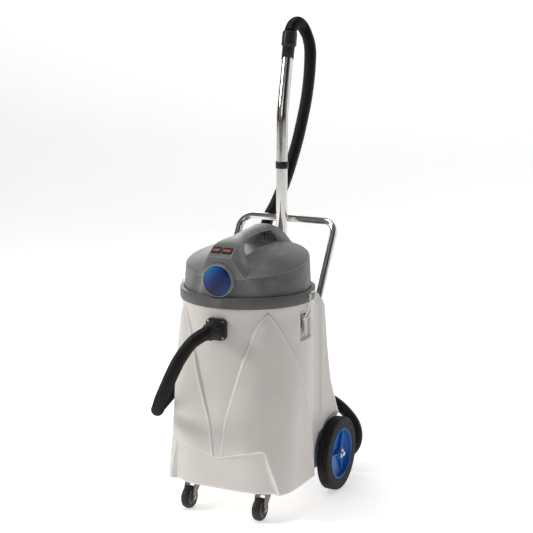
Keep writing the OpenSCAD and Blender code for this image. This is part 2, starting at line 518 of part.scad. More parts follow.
module wand_upper_tube() color("silver") {
  wand_axis(wand_joint) tube(wand_d / 2, 1.2, bend_z - wand_joint + 0.5);
  translate([0, wand_y + bend_r, bend_z]) rotate([90, 0, -90]) rotate_extrude(angle = wand_bend) translate([bend_r, 0]) ring2(wand_d / 2 + 0.1, 1.4);
  bent() translate([0, 0, -0.5]) tube(wand_d / 2, 1.2, 163.4);
}
module hose_cuff_wand() color("#1c1c1c") bent() difference() {
  union() {
    translate([0, 0, 151]) cylinder(r1 = 20.6, r2 = 21, h = 50);
    translate([0, 0, 198]) cylinder(r1 = 21, r2 = 26, h = 8);
    translate([0, 0, 205.9]) cylinder(r1 = 26, r2 = 25.4, h = 44.1);
  }
  translate([0, 0, 100]) cylinder(r = wand_d / 2, h = 63);
  translate([0, 0, 150]) cylinder(r = 16, h = 120);
  translate([0, 0, 154]) rotate([16, 12, 0]) translate([-40, -40, -30]) cube([80, 80, 30]);
}
module hose_cuff_tank() color("#1c1c1c") translate([0, inlet_y - 28.1, inlet_z]) rotate([90, 0, 0]) difference() {
  union() {
    cylinder(r = 29, h = 8);
    translate([0, 0, 7]) cylinder(r = 26.5, h = 24);
    for (a = [0:30:330]) rotate([0, 0, a]) translate([24, -4, 3]) cube([4.4, 8, 22]);
    translate([0, 0, 30.9]) cylinder(r = 22.5, h = 12);
  }
  translate([0, 0, -1]) cylinder(r = 17, h = 50);
}

// ---- Hose ----
// Points on the hose's middle, from the tank's cuff round the left side, down to
// the floor behind the machine, up behind the push handle and over to the wand.
route = [
  [0, -284, 627], [-3, -320, 624], [-20, -350, 605], [-50, -366, 557], [-80, -362, 504], [-108, -349, 457],
  [-138, -328, 411], [-172, -290, 366], [-210, -230, 340], [-245, -160, 326], [-270, -80, 324], [-280, 0, 338],
  [-286, 80, 345], [-292, 160, 328], [-292, 240, 280], [-280, 320, 205], [-250, 390, 120], [-195, 440, 50],
  [-120, 465, 24], [-40, 470, 22], [40, 468, 22], [120, 455, 24], [185, 428, 60], [222, 408, 115],
  [216, 400, 180], [160, 396, 238], [80, 390, 278], [10, 380, 330], [-50, 366, 410], [-92, 354, 520],
  [-115, 346, 650], [-118, 346, 770], [-100, 347, 882], [-70, 345, 940], [-41, 342, 1000], [-18, 339, 1056], [0, 341, 1114], [15, 347, 1174], [26, 357, 1238], [34, 369, 1302], [36, 385, 1367], [31, 406, 1428], [20, 429, 1478], [6, 436, 1518], [-3, 417, 1549], [0, 372, 1563], [1, 333, 1556], [0, 310.23, 1534.49]];
function spline(a, b, c, d, t) = 0.5 * (2 * b + (c - a) * t + (2 * a - 5 * b + 4 * c - d) * t * t + (3 * b - a - 3 * c + d) * t * t * t);
function smooth(p, k) = let (n = len(p)) [
  for (i = [0:n - 2]) for (j = [0:k(i) - 1]) spline(p[max(0, i - 1)], p[i], p[i + 1], p[min(n - 1, i + 2)], j / k(i)), p[n - 1]];
function unit(v) = v / norm(v);
function steps(i) = (i > 1 && i < 6) || (i > 40) ? 2 : (i > 20 && i < 30) || (i > 6 && i < 20) ? 2 : 1;
line = smooth(route, function(i) steps(i));
sides = 12;
function ahead(i) = i == 0 ? [0, -1, 0] : i == len(line) - 1 ? [0, -sin(wand_bend), -cos(wand_bend)] : unit(line[i + 1] - line[i - 1]);
function carry(n, d) = unit(n - d * (n * d));
normals = [for (i = 0, n = [1, 0, 0]; i < len(line); i = i + 1, n = i < len(line) ? carry(n, ahead(i)) : n) n];
module suction_hose() color("#151515") {
  r = hose_d / 2;
  skin([for (i = [0:len(line) - 1]) let (d = ahead(i), n = normals[i], b = cross(n, d))
      [for (j = [0:sides - 1]) let (a = 360 * j / sides) line[i] + r * (cos(a) * n + sin(a) * b)]],
    line[0], line[len(line) - 1]);
}

// Each piece stands in the machine's own frame.
module placed() translate([0, y_shift, 0]) children();
placed() tank();
placed() tank_rim_seal();
placed() push_handle();
placed() handle_screws();
placed() rear_axle();
placed() axle_brackets();
placed() axle_screws();
placed() axle_cap_nuts();
placed() axle_washers();
placed() castor_plates();
placed() castor_bolts();
placed() inlet_flange();
placed() inlet_screws();
placed() inlet_deflector();
placed() latch_plates();
placed() wand_holder();
placed() wand_holder_screws();
placed() drain_spout();
placed() drain_cap();
placed() at_castor(-1) castor_fork();  // castor_fork_left
placed() at_castor(1) castor_fork();  // castor_fork_right
placed() at_castor(-1) castor_axle();  // castor_axle_left
placed() at_castor(1) castor_axle();  // castor_axle_right
placed() at_castor(-1) castor_hub();  // castor_hub_left
placed() at_castor(1) castor_hub();  // castor_hub_right
placed() at_castor(-1) castor_tyre();  // castor_tyre_left
placed() at_castor(1) castor_tyre();  // castor_tyre_right
placed() at_rear(-1) rear_hub();  // rear_hub_left
placed() at_rear(1) rear_hub();  // rear_hub_right
placed() at_rear(-1) rear_tyre();  // rear_tyre_left
placed() at_rear(1) rear_tyre();  // rear_tyre_right
placed() head_base();
placed() head_cover();
placed() head_screws();
placed() badge_bezel();
placed() badge_disc();
placed() switch_frames();
placed() motor_fan_housings();
placed() motor_bodies();
placed() motor_gaskets();
placed() float_cage();
placed() latch_catches();
placed() cable_gland();
placed() at_switch(-1) switch_rocker();  // switch_rocker_left
placed() at_switch(1) switch_rocker();  // switch_rocker_right
placed() translate([-86, 0, 0]) rotor();  // rotor_left
placed() translate([86, 0, 0]) rotor();  // rotor_right
placed() float_ball();
placed() mirror([1, 0, 0]) latch_lever();  // latch_lever_left
placed() latch_lever();  // latch_lever_right
placed() mirror([1, 0, 0]) latch_bail();  // latch_bail_left
placed() latch_bail();  // latch_bail_right
placed() wand_lower_tube();
placed() wand_upper_tube();
placed() wand_joint_ring();
placed() wand_stop_ring();
placed() hose_cuff_wand();
placed() hose_cuff_tank();
placed() suction_hose();
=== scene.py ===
# Looks of the spot extractor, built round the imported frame. Metres. Front towards -Y.
import math, json
import bpy
import numpy as np
from mathutils import Vector, Matrix

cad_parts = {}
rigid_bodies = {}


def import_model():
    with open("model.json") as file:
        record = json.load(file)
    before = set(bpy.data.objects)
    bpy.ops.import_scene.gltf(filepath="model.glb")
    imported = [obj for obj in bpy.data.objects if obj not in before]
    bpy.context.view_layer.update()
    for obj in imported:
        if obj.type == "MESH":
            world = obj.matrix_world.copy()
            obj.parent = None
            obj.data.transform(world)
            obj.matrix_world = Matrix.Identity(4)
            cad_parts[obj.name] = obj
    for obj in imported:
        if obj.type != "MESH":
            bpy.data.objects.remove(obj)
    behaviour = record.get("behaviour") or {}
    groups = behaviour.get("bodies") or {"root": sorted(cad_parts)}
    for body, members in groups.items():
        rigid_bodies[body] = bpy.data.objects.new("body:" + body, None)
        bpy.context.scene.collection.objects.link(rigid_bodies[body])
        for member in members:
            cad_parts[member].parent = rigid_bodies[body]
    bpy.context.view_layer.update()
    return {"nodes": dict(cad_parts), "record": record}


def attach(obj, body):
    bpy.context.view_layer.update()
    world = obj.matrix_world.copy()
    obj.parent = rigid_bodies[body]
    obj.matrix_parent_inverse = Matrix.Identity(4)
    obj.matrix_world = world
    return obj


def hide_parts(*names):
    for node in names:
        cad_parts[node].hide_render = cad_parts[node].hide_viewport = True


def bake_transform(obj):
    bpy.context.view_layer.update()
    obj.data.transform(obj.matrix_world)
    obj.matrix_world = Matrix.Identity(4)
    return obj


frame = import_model()
DY = -32.5   # mm: the frame's origin is under the middle of the machine
NODES = frame["nodes"]


# ------------------------------------------------------------------ camera
def look_at_camera():
    az, dist, high, yaw, pitch, roll = 26.8366, 4.556, 1.6767, -0.761, -11.0222, 0.2044
    a = math.radians(az)
    t = math.radians(az + yaw)
    p = math.radians(pitch)
    pos = Vector((dist * math.sin(a), -dist * math.cos(a) + DY / 1000, high))
    fwd = Vector((-math.sin(t) * math.cos(p), math.cos(t) * math.cos(p), math.sin(p)))
    right = fwd.cross(Vector((0, 0, 1))).normalized()
    up = right.cross(fwd)
    r = math.radians(roll)
    right, up = right * math.cos(r) + up * math.sin(r), up * math.cos(r) - right * math.sin(r)
    cam = bpy.data.cameras.new("camera")
    cam.sensor_width = 36
    cam.lens = 96.52
    cam.clip_end = 50
    ob = bpy.data.objects.new("camera", cam)
    bpy.context.scene.collection.objects.link(ob)
    m = Matrix((right, up, -fwd)).transposed().to_4x4()
    m.translation = pos
    ob.matrix_world = m
    bpy.context.scene.camera = ob


look_at_camera()

# ------------------------------------------------------------------ materials
def new_mat(name):
    m = bpy.data.materials.new(name)
    m.use_nodes = True
    nt = m.node_tree
    nt.nodes.clear()
    out = nt.nodes.new("ShaderNodeOutputMaterial")
    b = nt.nodes.new("ShaderNodeBsdfPrincipled")
    nt.links.new(b.outputs[0], out.inputs[0])
    return m, nt, b


def coords(nt, scale=(1, 1, 1)):
    c = nt.nodes.new("ShaderNodeTexCoord")
    mp = nt.nodes.new("ShaderNodeMapping")
    mp.inputs["Scale"].default_value = scale
    nt.links.new(c.outputs["Object"], mp.inputs[0])
    return mp.outputs[0]


def noise(nt, vec, scale, detail=3, rough=0.55):
    n = nt.nodes.new("ShaderNodeTexNoise")
    n.inputs["Scale"].default_value = scale
    n.inputs["Detail"].default_value = detail
    n.inputs["Roughness"].default_value = rough
    nt.links.new(vec, n.inputs["Vector"])
    return n.outputs["Fac"]


def ramp(nt, fac, stops):
    r = nt.nodes.new("ShaderNodeValToRGB")
    e = r.color_ramp.elements
    while len(e) < len(stops):
        e.new(0.5)
    for el, (p, c) in zip(e, stops):
        el.position = p
        el.color = tuple(c) + (1,) if len(c) == 3 else c
    nt.links.new(fac, r.inputs[0])
    return r.outputs[0]


def maprange(nt, fac, a, b, c, d):
    n = nt.nodes.new("ShaderNodeMapRange")
    for i, v in zip((1, 2, 3, 4), (a, b, c, d)):
        n.inputs[i].default_value = v
    nt.links.new(fac, n.inputs[0])
    return n.outputs[0]


def mixc(nt, fac, c1, c2):
    n = nt.nodes.new("ShaderNodeMix")
    n.data_type = "RGBA"
    if isinstance(fac, float):
        n.inputs[0].default_value = fac
    else:
        nt.links.new(fac, n.inputs[0])
    for sock, c in ((n.inputs[6], c1), (n.inputs[7], c2)):
        if isinstance(c, tuple):
            sock.default_value = c + (1,)
        else:
            nt.links.new(c, sock)
    return n.outputs[2]


def add_bump(nt, b, height, strength, dist=0.001, normal=None):
    n = nt.nodes.new("ShaderNodeBump")
    n.inputs["Strength"].default_value = strength
    n.inputs["Distance"].default_value = dist
    nt.links.new(height, n.inputs["Height"])
    if normal is not None:
        nt.links.new(normal, n.inputs["Normal"])
    nt.links.new(n.outputs[0], b.inputs["Normal"])
    return n.outputs[0]


def plastic(name, dark, light, rough=(0.35, 0.5), grain=420, grain_h=0.25, cloud=6, spec=0.5, coat=0.0, dist=0.0004, edge_highlight=None):
    m, nt, b = new_mat(name)
    v = coords(nt)
    big = noise(nt, v, cloud, 4)
    col = ramp(nt, big, [(0.3, dark), (0.7, light)])
    # painted highlight: where a highlight colour is given, convex edges found by pointiness are mixed towards it
    if edge_highlight is not None:
        geo = nt.nodes.new("ShaderNodeNewGeometry")
        edge = maprange(nt, geo.outputs["Pointiness"], 0.505, 0.56, 0.0, 1.0)
        col = mixc(nt, edge, col, edge_highlight)
    nt.links.new(col, b.inputs["Base Color"])
    fine = noise(nt, v, grain, 2)
    nt.links.new(maprange(nt, noise(nt, v, 35, 4), 0.3, 0.7, rough[0], rough[1]), b.inputs["Roughness"])
    b.inputs["Specular IOR Level"].default_value = spec
    b.inputs["Coat Weight"].default_value = coat
    add_bump(nt, b, fine, grain_h, dist)
    return m


def poly_white():
    m, nt, b = new_mat("moulded_white_polyethylene")
    v = coords(nt)
    big = noise(nt, v, 3.2, 5, 0.6)
    col = ramp(nt, big, [(0.25, (0.645, 0.612, 0.575)), (0.5, (0.70, 0.668, 0.635)), (0.78, (0.735, 0.705, 0.675))])
    # painted highlight: convex ridges and edges, found by pointiness, are lightened towards near white
    geo = nt.nodes.new("ShaderNodeNewGeometry")
    col = mixc(nt, maprange(nt, geo.outputs["Pointiness"], 0.505, 0.535, 0.0, 0.75), col, (0.90, 0.89, 0.87))
    nt.links.new(col, b.inputs["Base Color"])
    nt.links.new(maprange(nt, noise(nt, v, 22, 4), 0.3, 0.7, 0.36, 0.50), b.inputs["Roughness"])
    b.inputs["Subsurface Weight"].default_value = 0.12
    b.inputs["Subsurface Radius"].default_value = (0.012, 0.009, 0.007)
    b.inputs["Specular IOR Level"].default_value = 0.42
    f1 = noise(nt, v, 650, 2)
    f2 = noise(nt, v, 55, 3)
    n1 = add_bump(nt, b, f2, 0.10, 0.0012)
    add_bump(nt, b, f1, 0.14, 0.00025, n1)
    return m


def chrome(name, tint=(0.78, 0.765, 0.74), rough=(0.07, 0.16)):
    m, nt, b = new_mat(name)
    v = coords(nt)
    b.inputs["Metallic"].default_value = 1
    col = ramp(nt, noise(nt, v, 9, 4), [(0.3, tuple(c * 0.9 for c in tint)), (0.7, tint)])
    nt.links.new(col, b.inputs["Base Color"])
    nt.links.new(maprange(nt, noise(nt, v, 60, 5), 0.35, 0.7, rough[0], rough[1]), b.inputs["Roughness"])
    add_bump(nt, b, noise(nt, coords(nt, (1, 1, 0.12)), 900, 2), 0.05, 0.0001)
    return m


def steel(name, c=(0.50, 0.48, 0.45), rough=(0.28, 0.48)):
    m, nt, b = new_mat(name)
    v = coords(nt)
    b.inputs["Metallic"].default_value = 1
    col = ramp(nt, noise(nt, v, 40, 5, 0.65), [(0.3, tuple(x * 0.72 for x in c)), (0.55, c), (0.8, tuple(min(1, x * 1.15) for x in c))])
    nt.links.new(col, b.inputs["Base Color"])
    nt.links.new(maprange(nt, noise(nt, v, 120, 4), 0.3, 0.7, rough[0], rough[1]), b.inputs["Roughness"])
    add_bump(nt, b, noise(nt, coords(nt, (1, 1, 8)), 300, 3), 0.12, 0.00015)
    return m


def rubber(name, dark, light, rough=(0.5, 0.72), bump=0.3, spec=0.4):
    m, nt, b = new_mat(name)
    v = coords(nt)
    col = ramp(nt, noise(nt, v, 28, 5, 0.6), [(0.3, dark), (0.75, light)])
    nt.links.new(col, b.inputs["Base Color"])
    nt.links.new(maprange(nt, noise(nt, v, 80, 4), 0.3, 0.7, rough[0], rough[1]), b.inputs["Roughness"])
    b.inputs["Specular IOR Level"].default_value = spec
    add_bump(nt, b, noise(nt, v, 700, 3), bump, 0.0003)
    return m


def cover_grey():
    # satin grey moulding with cloudy lighter and darker patches; convex edges carry a painted highlight and concave
    # creases painted shade
    m, nt, b = new_mat("moulded_grey_cover")
    v = coords(nt)
    warp = nt.nodes.new("ShaderNodeTexNoise")
    warp.inputs["Scale"].default_value = 4.2
    warp.inputs["Detail"].default_value = 6
    warp.inputs["Distortion"].default_value = 2.4
    nt.links.new(v, warp.inputs["Vector"])
    col = ramp(nt, warp.outputs["Fac"], [(0.28, (0.080, 0.083, 0.086)), (0.42, (0.120, 0.123, 0.126)), (0.52, (0.145, 0.148, 0.150)), (0.60, (0.20, 0.202, 0.203)), (0.72, (0.30, 0.30, 0.30))])
    geo = nt.nodes.new("ShaderNodeNewGeometry")
    # painted highlight on convex edges (high pointiness), painted shade in concave creases and hollows (low pointiness)
    col = mixc(nt, maprange(nt, geo.outputs["Pointiness"], 0.506, 0.545, 0.0, 0.8), col, (0.36, 0.36, 0.355))
    col = mixc(nt, maprange(nt, geo.outputs["Pointiness"], 0.494, 0.455, 0.0, 0.75), col, (0.055, 0.057, 0.06))
    nt.links.new(col, b.inputs["Base Color"])
    nt.links.new(maprange(nt, warp.outputs["Fac"], 0.3, 0.7, 0.34, 0.52), b.inputs["Roughness"])
    b.inputs["Specular IOR Level"].default_value = 0.45
    n1 = add_bump(nt, b, noise(nt, v, 90, 3), 0.08, 0.0006)
    add_bump(nt, b, noise(nt, v, 900, 2), 0.22, 0.0002, n1)
    return m


def badge_blue():
    # plain glossy disc: deep blue at the rim, with a painted highlight that makes it lighter towards the upper left and
    # a fainter painted highlight at the lower right
    m, nt, b = new_mat("badge_blue")
    c = nt.nodes.new("ShaderNodeTexCoord")
    sep = nt.nodes.new("ShaderNodeSeparateXYZ")
    nt.links.new(c.outputs["Object"], sep.inputs[0])
    add = nt.nodes.new("ShaderNodeMath")
    add.operation = "SUBTRACT"
    nt.links.new(sep.outputs[2], add.inputs[0])
    nt.links.new(sep.outputs[0], add.inputs[1])
    g = maprange(nt, add.outputs[0], 0.779 - 0.075, 0.779 + 0.085, 0.0, 1.0)
    col = ramp(nt, g, [(0.0, (0.010, 0.07, 0.26)), (0.16, (0.004, 0.028, 0.13)), (0.42, (0.002, 0.010, 0.062)), (0.62, (0.004, 0.035, 0.17)), (0.82, (0.022, 0.14, 0.37)), (1.0, (0.13, 0.38, 0.66))])
    nt.links.new(col, b.inputs["Base Color"])
    b.inputs["Roughness"].default_value = 0.16
    b.inputs["Coat Weight"].default_value = 0.12
    b.inputs["Specular IOR Level"].default_value = 0.22
    b.inputs["Coat Roughness"].default_value = 0.05
    add_bump(nt, b, noise(nt, coords(nt), 300, 2), 0.03, 0.0002)
    return m


M = {
    "white": poly_white(),
    "cover": cover_grey(),
    # moulded_dark_grey, moulded_black and bezel_grey below get a painted highlight colour on their convex edges
    "ring": plastic("moulded_dark_grey", (0.048, 0.051, 0.050), (0.075, 0.078, 0.076), (0.36, 0.5), 800, 0.25, 9, spec=0.35, edge_highlight=(0.13, 0.13, 0.127)),
    "black": plastic("moulded_black", (0.010, 0.010, 0.011), (0.020, 0.020, 0.021), (0.34, 0.48), 600, 0.3, 12, spec=0.25, edge_highlight=(0.035, 0.035, 0.036)),
    "cuff": plastic("satin_black_cuff", (0.012, 0.012, 0.013), (0.022, 0.022, 0.024), (0.26, 0.36), 500, 0.12, 14, spec=0.3),
    "hose": rubber("hose_black", (0.0035, 0.0035, 0.0035), (0.007, 0.007, 0.007), (0.34, 0.46), 0.1, 0.22),
    "tyre": rubber("tyre_rubber", (0.010, 0.010, 0.010), (0.020, 0.019, 0.018), (0.52, 0.72), 0.35, 0.22),
    "castor": rubber("castor_rubber", (0.018, 0.018, 0.019), (0.034, 0.033, 0.032), (0.4, 0.58), 0.2, 0.3),
    "seal": rubber("seal_rubber", (0.02, 0.02, 0.02), (0.035, 0.035, 0.035)),
    "blue": plastic("blue_wheel_plastic", (0.003, 0.105, 0.40), (0.005, 0.150, 0.52), (0.28, 0.42), 500, 0.12, 16, spec=0.5),
    "chrome": chrome("chromed_tube"),
    "bright": chrome("bright_nut", (0.72, 0.69, 0.66), (0.1, 0.2)),
    "steel": steel("zinc_steel"),
    "fork": steel("fork_steel", (0.22, 0.20, 0.175), (0.34, 0.52)),
    "alu": steel("motor_aluminium", (0.62, 0.62, 0.62), (0.3, 0.5)),
    "silver": plastic("bezel_grey", (0.11, 0.113, 0.115), (0.15, 0.152, 0.153), (0.3, 0.42), 700, 0.12, 20, spec=0.4, edge_highlight=(0.36, 0.355, 0.35)),
    "badge": badge_blue(),
    "red": plastic("red_rocker", (0.20, 0.035, 0.022), (0.30, 0.055, 0.035), (0.2, 0.3), 300, 0.05, 60, coat=0.3),
    "dark": plastic("dark_hollow", (0.012, 0.012, 0.012), (0.02, 0.02, 0.02), (0.5, 0.7), 500, 0.2, 20),
}
slot_to = {"white_polyethylene": "white", "chromed_tube": "chrome", "zinc_steel": "steel", "black_plastic": "black", "black_hose": "hose",
           "dark_rubber": "seal", "tyre_rubber": "tyre", "castor_rubber": "castor", "blue_plastic": "blue", "grey_plastic": "cover",
           "dark_grey_plastic": "ring", "silver_plastic": "silver", "badge_blue": "badge", "red_plastic": "red", "motor_steel": "alu"}
node_slot = {s["node"]: s["material_slot"] for s in frame["record"]["subparts"]}
for n, ob in NODES.items():
    key = slot_to.get(node_slot.get(n, ""), "ring")
    if n.startswith("castor_fork"):
        key = "fork"
    if n == "axle_cap_nuts":
        key = "bright"
    for i in range(max(1, len(ob.data.materials))):
        if len(ob.data.materials) == 0:
            ob.data.materials.append(M[key])
        else:
            ob.data.materials[i] = M[key]


# ------------------------------------------------------------------ mesh helpers (input in mm, machine frame)
def put(name, verts, faces, mat, body, *replaced, smooth=True, sharp=None, bevel=None, sub=0, slot=None):
    v = np.asarray(verts, dtype=float).copy()
    v[:, 1] += DY
    v /= 1000
    me = bpy.data.meshes.new(name)
    me.from_pydata(v.tolist(), [], [list(map(int, f)) for f in faces])
    me.validate()
    ob = bpy.data.objects.new(name, me)
    bpy.context.scene.collection.objects.link(ob)
    me.materials.append(M[mat] if isinstance(mat, str) else mat)
    import bmesh
    bm = bmesh.new()
    bm.from_mesh(me)
    bmesh.ops.recalc_face_normals(bm, faces=bm.faces)
    bm.to_mesh(me)
    bm.free()
    if smooth:
        me.shade_smooth()
        if sharp is not None:
            me.set_sharp_from_angle(angle=math.radians(sharp))
    if bevel:
        md = ob.modifiers.new("edges", "BEVEL")
        md.width = bevel / 1000
        md.segments = 3
        md.limit_method = "ANGLE"
        md.angle_limit = math.radians(28)
        md.harden_normals = True
    if sub:
        md = ob.modifiers.new("round", "SUBSURF")
        md.levels = md.render_levels = sub
    if body:
        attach(ob, body)
    live = [r for r in replaced if r in NODES]
    if live:
        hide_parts(*live)
    return ob


def loft(rings, wrap=True, caps=(True, True)):
    """Quads through rings of equal length; closes each end with a fan."""
    rings = [np.asarray(r, float) for r in rings]
    n = len(rings[0])
    v = np.vstack(rings)
    f = []
    for i in range(len(rings) - 1):
        a = i * n
        for j in range(n if wrap else n - 1):
            k = (j + 1) % n
            f.append((a + j, a + k, a + n + k, a + n + j))
    extra = []
    for end, on in ((0, caps[0]), (len(rings) - 1, caps[1])):
        if on:
            c = len(v) + len(extra)
            extra.append(rings[end].mean(0))
            for j in range(n):
                k = (j + 1) % n
                f.append((end * n + j, end * n + k, c))
    if extra:
        v = np.vstack([v, extra])
    return v, f


def lathe(profile, n=96, axis="z", at=(0, 0, 0), closed=True):
    """Turns a closed (radius, height) outline about an axis through at."""
    a = np.linspace(0, 2 * np.pi, n, endpoint=False)
    rings = []
    for r, h in profile:
        x, y = r * np.cos(a), r * np.sin(a)
        z = np.full(n, float(h))
        p = {"z": (x, y, z), "x": (z, x, y), "y": (y, z, x), "-y": (x, -z, y), "-x": (-z, y, x)}[axis]
        rings.append(np.stack(p, 1) + np.array(at, float))
    if closed:
        rings.append(rings[0])
        v, f = loft(rings, caps=(False, False))
        m = len(v) - n
        f = [tuple(i if i < m else i - m for i in q) for q in f]
        return v[:m], f
    return loft(rings)


def frames(p, start=None):
    """Carries a normal along a path without twist."""
    p = np.asarray(p, float)
    t = np.gradient(p, axis=0)
    t /= np.linalg.norm(t, axis=1)[:, None]
    n0 = np.array(start if start is not None else (1.0, 0, 0))
    out = []
    n = n0 - t[0] * (n0 @ t[0])
    for i in range(len(p)):
        n = n - t[i] * (n @ t[i])
        n /= np.linalg.norm(n)
        out.append(n.copy())
    n = np.array(out)
    return t, n, np.cross(t, n)


def sweep(path, radius, sides=24, start=None, caps=(True, True)):
    p = np.asarray(path, float)
    t, n, b = frames(p, start)
    r = np.broadcast_to(np.asarray(radius, float), (len(p),))
    a = np.linspace(0, 2 * np.pi, sides, endpoint=False)
    rings = [p[i] + r[i] * (np.cos(a)[:, None] * n[i] + np.sin(a)[:, None] * b[i]) for i in range(len(p))]
    return loft(rings, caps=caps)


def prism(outline, lo, hi, axis="x"):
    """Extrudes a flat outline. axis x: outline is (y, z); y: (x, z); z: (x, y)."""
    o = np.asarray(outline, float)
    n = len(o)
    rows = []
    for h in (lo, hi):
        c = np.full(n, float(h))
        rows.append(np.stack({"x": (c, o[:, 0], o[:, 1]), "y": (o[:, 0], c, o[:, 1]), "z": (o[:, 0], o[:, 1], c)}[axis], 1))
    v = np.vstack(rows)
    f = [tuple(range(n))[::-1], tuple(range(n, 2 * n))] + [(j, (j + 1) % n, n + (j + 1) % n, n + j) for j in range(n)]
    return v, f


def merge(*parts):
    v, f, k = [], [], 0
    for pv, pf in parts:
        v.append(np.asarray(pv, float))
        f += [tuple(i + k for i in q) for q in pf]
        k += len(pv)
    return np.vstack(v), f


def mirror(part):
    v, f = part
    v = np.asarray(v, float) * np.array([-1, 1, 1])
    return v, [tuple(reversed(q)) for q in f]


def moved(part, m3=None, at=(0, 0, 0)):
    v, f = part
    v = np.asarray(v, float)
    if m3 is not None:
        v = v @ np.asarray(m3, float).T
    return v + np.array(at, float), f


def rot(axis, deg):
    return np.array(Matrix.Rotation(math.radians(deg), 3, axis))


def catmull(pts, per):
    p = np.asarray(pts, float)
    out = []
    for i in range(len(p) - 1):
        a, b, c, d = p[max(0, i - 1)], p[i], p[i + 1], p[min(len(p) - 1, i + 2)]
        for j in range(per):
            t = j / per
            out.append(0.5 * (2 * b + (c - a) * t + (2 * a - 5 * b + 4 * c - d) * t * t + (3 * b - a - 3 * c + d) * t ** 3))
    out.append(p[-1])
    return np.array(out)


def resample(p, step):
    p = np.asarray(p, float)
    s = np.concatenate([[0], np.cumsum(np.linalg.norm(np.diff(p, axis=0), axis=1))])
    n = max(2, int(round(s[-1] / step)) + 1)
    q = np.linspace(0, s[-1], n)
    return np.stack([np.interp(q, s, p[:, k]) for k in range(3)], 1), s[-1]


def boolean(ob, cutters, op="DIFFERENCE"):
    """Cuts with plain helper meshes, then removes them."""
    for v, f in cutters:
        c = np.asarray(v, float).copy()
        c[:, 1] += DY
        me = bpy.data.meshes.new("cutter")
        me.from_pydata((c / 1000).tolist(), [], [list(map(int, q)) for q in f])
        co = bpy.data.objects.new("cutter", me)
        bpy.context.scene.collection.objects.link(co)
        import bmesh
        bm = bmesh.new()
        bm.from_mesh(me)
        bmesh.ops.recalc_face_normals(bm, faces=bm.faces)
        bm.to_mesh(me)
        bm.free()
        md = ob.modifiers.new("cut", "BOOLEAN")
        md.operation = op
        md.solver = "EXACT"
        md.object = co
        dg = bpy.context.evaluated_depsgraph_get()
        new = bpy.data.meshes.new_from_object(ob.evaluated_get(dg))
        ob.modifiers.remove(md)
        old = ob.data
        ob.data = new
        bpy.data.objects.remove(co)
        bpy.data.meshes.remove(me)
        bpy.data.meshes.remove(old)
    return ob


def tidy(ob, angle=35):
    ob.data.shade_smooth()
    ob.data.set_sharp_from_angle(angle=math.radians(angle))


def tube_solid(r, h, axis, at, n=64):
    return lathe([(r, 0), (r, h)], n, axis, at, closed=False)


def bake(ob):
    dg = bpy.context.evaluated_depsgraph_get()
    new = bpy.data.meshes.new_from_object(ob.evaluated_get(dg))
    ob.modifiers.clear()
    old = ob.data
    ob.data = new
    bpy.data.meshes.remove(old)
    return ob


# ------------------------------------------------------------------ hose
ROUTE = [
    (0, -284, 627), (-3, -320, 624), (-20, -350, 605), (-50, -366, 557), (-80, -362, 504), (-108, -349, 457),
    (-138, -328, 411), (-172, -290, 366), (-210, -230, 340), (-245, -160, 326), (-270, -80, 324), (-280, 0, 338),
    (-286, 80, 345), (-292, 160, 328), (-292, 240, 280), (-280, 320, 205), (-250, 390, 120), (-195, 440, 50),
    (-120, 465, 24), (-40, 470, 22), (40, 468, 22), (120, 455, 24), (185, 428, 60), (222, 408, 115),
    (216, 400, 180), (160, 396, 238), (80, 390, 278), (10, 380, 330), (-50, 366, 410), (-92, 354, 520),
    (-115, 346, 650), (-118, 346, 770), (-100, 347, 882), (-70, 345, 940), (-41, 342, 1000), (-18, 339, 1056), (0, 341, 1114), (15, 347, 1174), (26, 357, 1238), (34, 369, 1302), (36, 385, 1367), (31, 406, 1428), (20, 429, 1478), (6, 436, 1518), (-3, 417, 1549), (0, 372, 1563), (1, 333, 1556), (0, 310.23, 1534.49)]
hose_line, hose_long = resample(catmull(ROUTE, 16), 1.3)
HOSE_R = 21.0


def make_hose():
    n = len(hose_line)
    s = np.linspace(0, hose_long, n)
    # rounded ribs, one every 5.2 mm
    r = HOSE_R - 1.15 + 1.15 * np.cos(2 * np.pi * s / 5.2)
    ends = (s < 6) | (s > hose_long - 6)
    r = np.where(ends, HOSE_R - 0.6, r)
    v, f = sweep(hose_line, r, 28)
    ob = put("hose_ribbed", v, f, "hose", None, "suction_hose")
    path = (hose_line[::23] + np.array([0, DY, 0])) / 1000
    path = np.vstack([path, (hose_line[-1] + np.array([0, DY, 0])) / 1000])
    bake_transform(ob)
    return ob


make_hose()


# ------------------------------------------------------------------ tank
def smax(a, b, k):
    return 0.5 * (a + b + np.sqrt((a - b) ** 2 + k * k))


def smin(a, b, k):
    return 0.5 * (a + b - np.sqrt((a - b) ** 2 + k * k))


def sstep(x):
    x = np.clip(x, 0, 1)
    return x * x * (3 - 2 * x)


def ip(z, *pairs):
    return np.interp(z, [p[0] for p in pairs], [p[1] for p in pairs])


def cone_r(z):
    return ip(z, (90, 221), (300, 220), (500, 218), (650, 215), (702, 213.6))


def square_half(z):
    return ip(z, (90, 222), (209, 219.5), (304, 219), (382, 218), (458, 215), (541, 203), (615, 184), (678, 154), (702, 140))


def corner_r(z):
    return ip(z, (90, 266), (158, 262), (213, 256), (268, 251), (513, 235), (593, 229), (647, 223), (678, 217.5), (689, 213.6), (702, 213.6))


def rounded(s, diag, a):
    """Edge distance of a rounded square, a is 0 to 45 degrees from a side's middle."""
    a = np.radians(a)
    rc = np.minimum(s - 2, np.maximum(6, (np.sqrt(2) * s - diag) / (np.sqrt(2) - 1)))
    c = s - rc
    d = c * (np.cos(a) + np.sin(a))
    return np.where(np.tan(a) <= c / s, s / np.cos(a), d + np.sqrt(np.maximum(0, rc * rc - 2 * c * c + d * d)))


def fold(t):
    u = np.mod(t, 90.0)
    return np.where(u > 45, 90 - u, u)


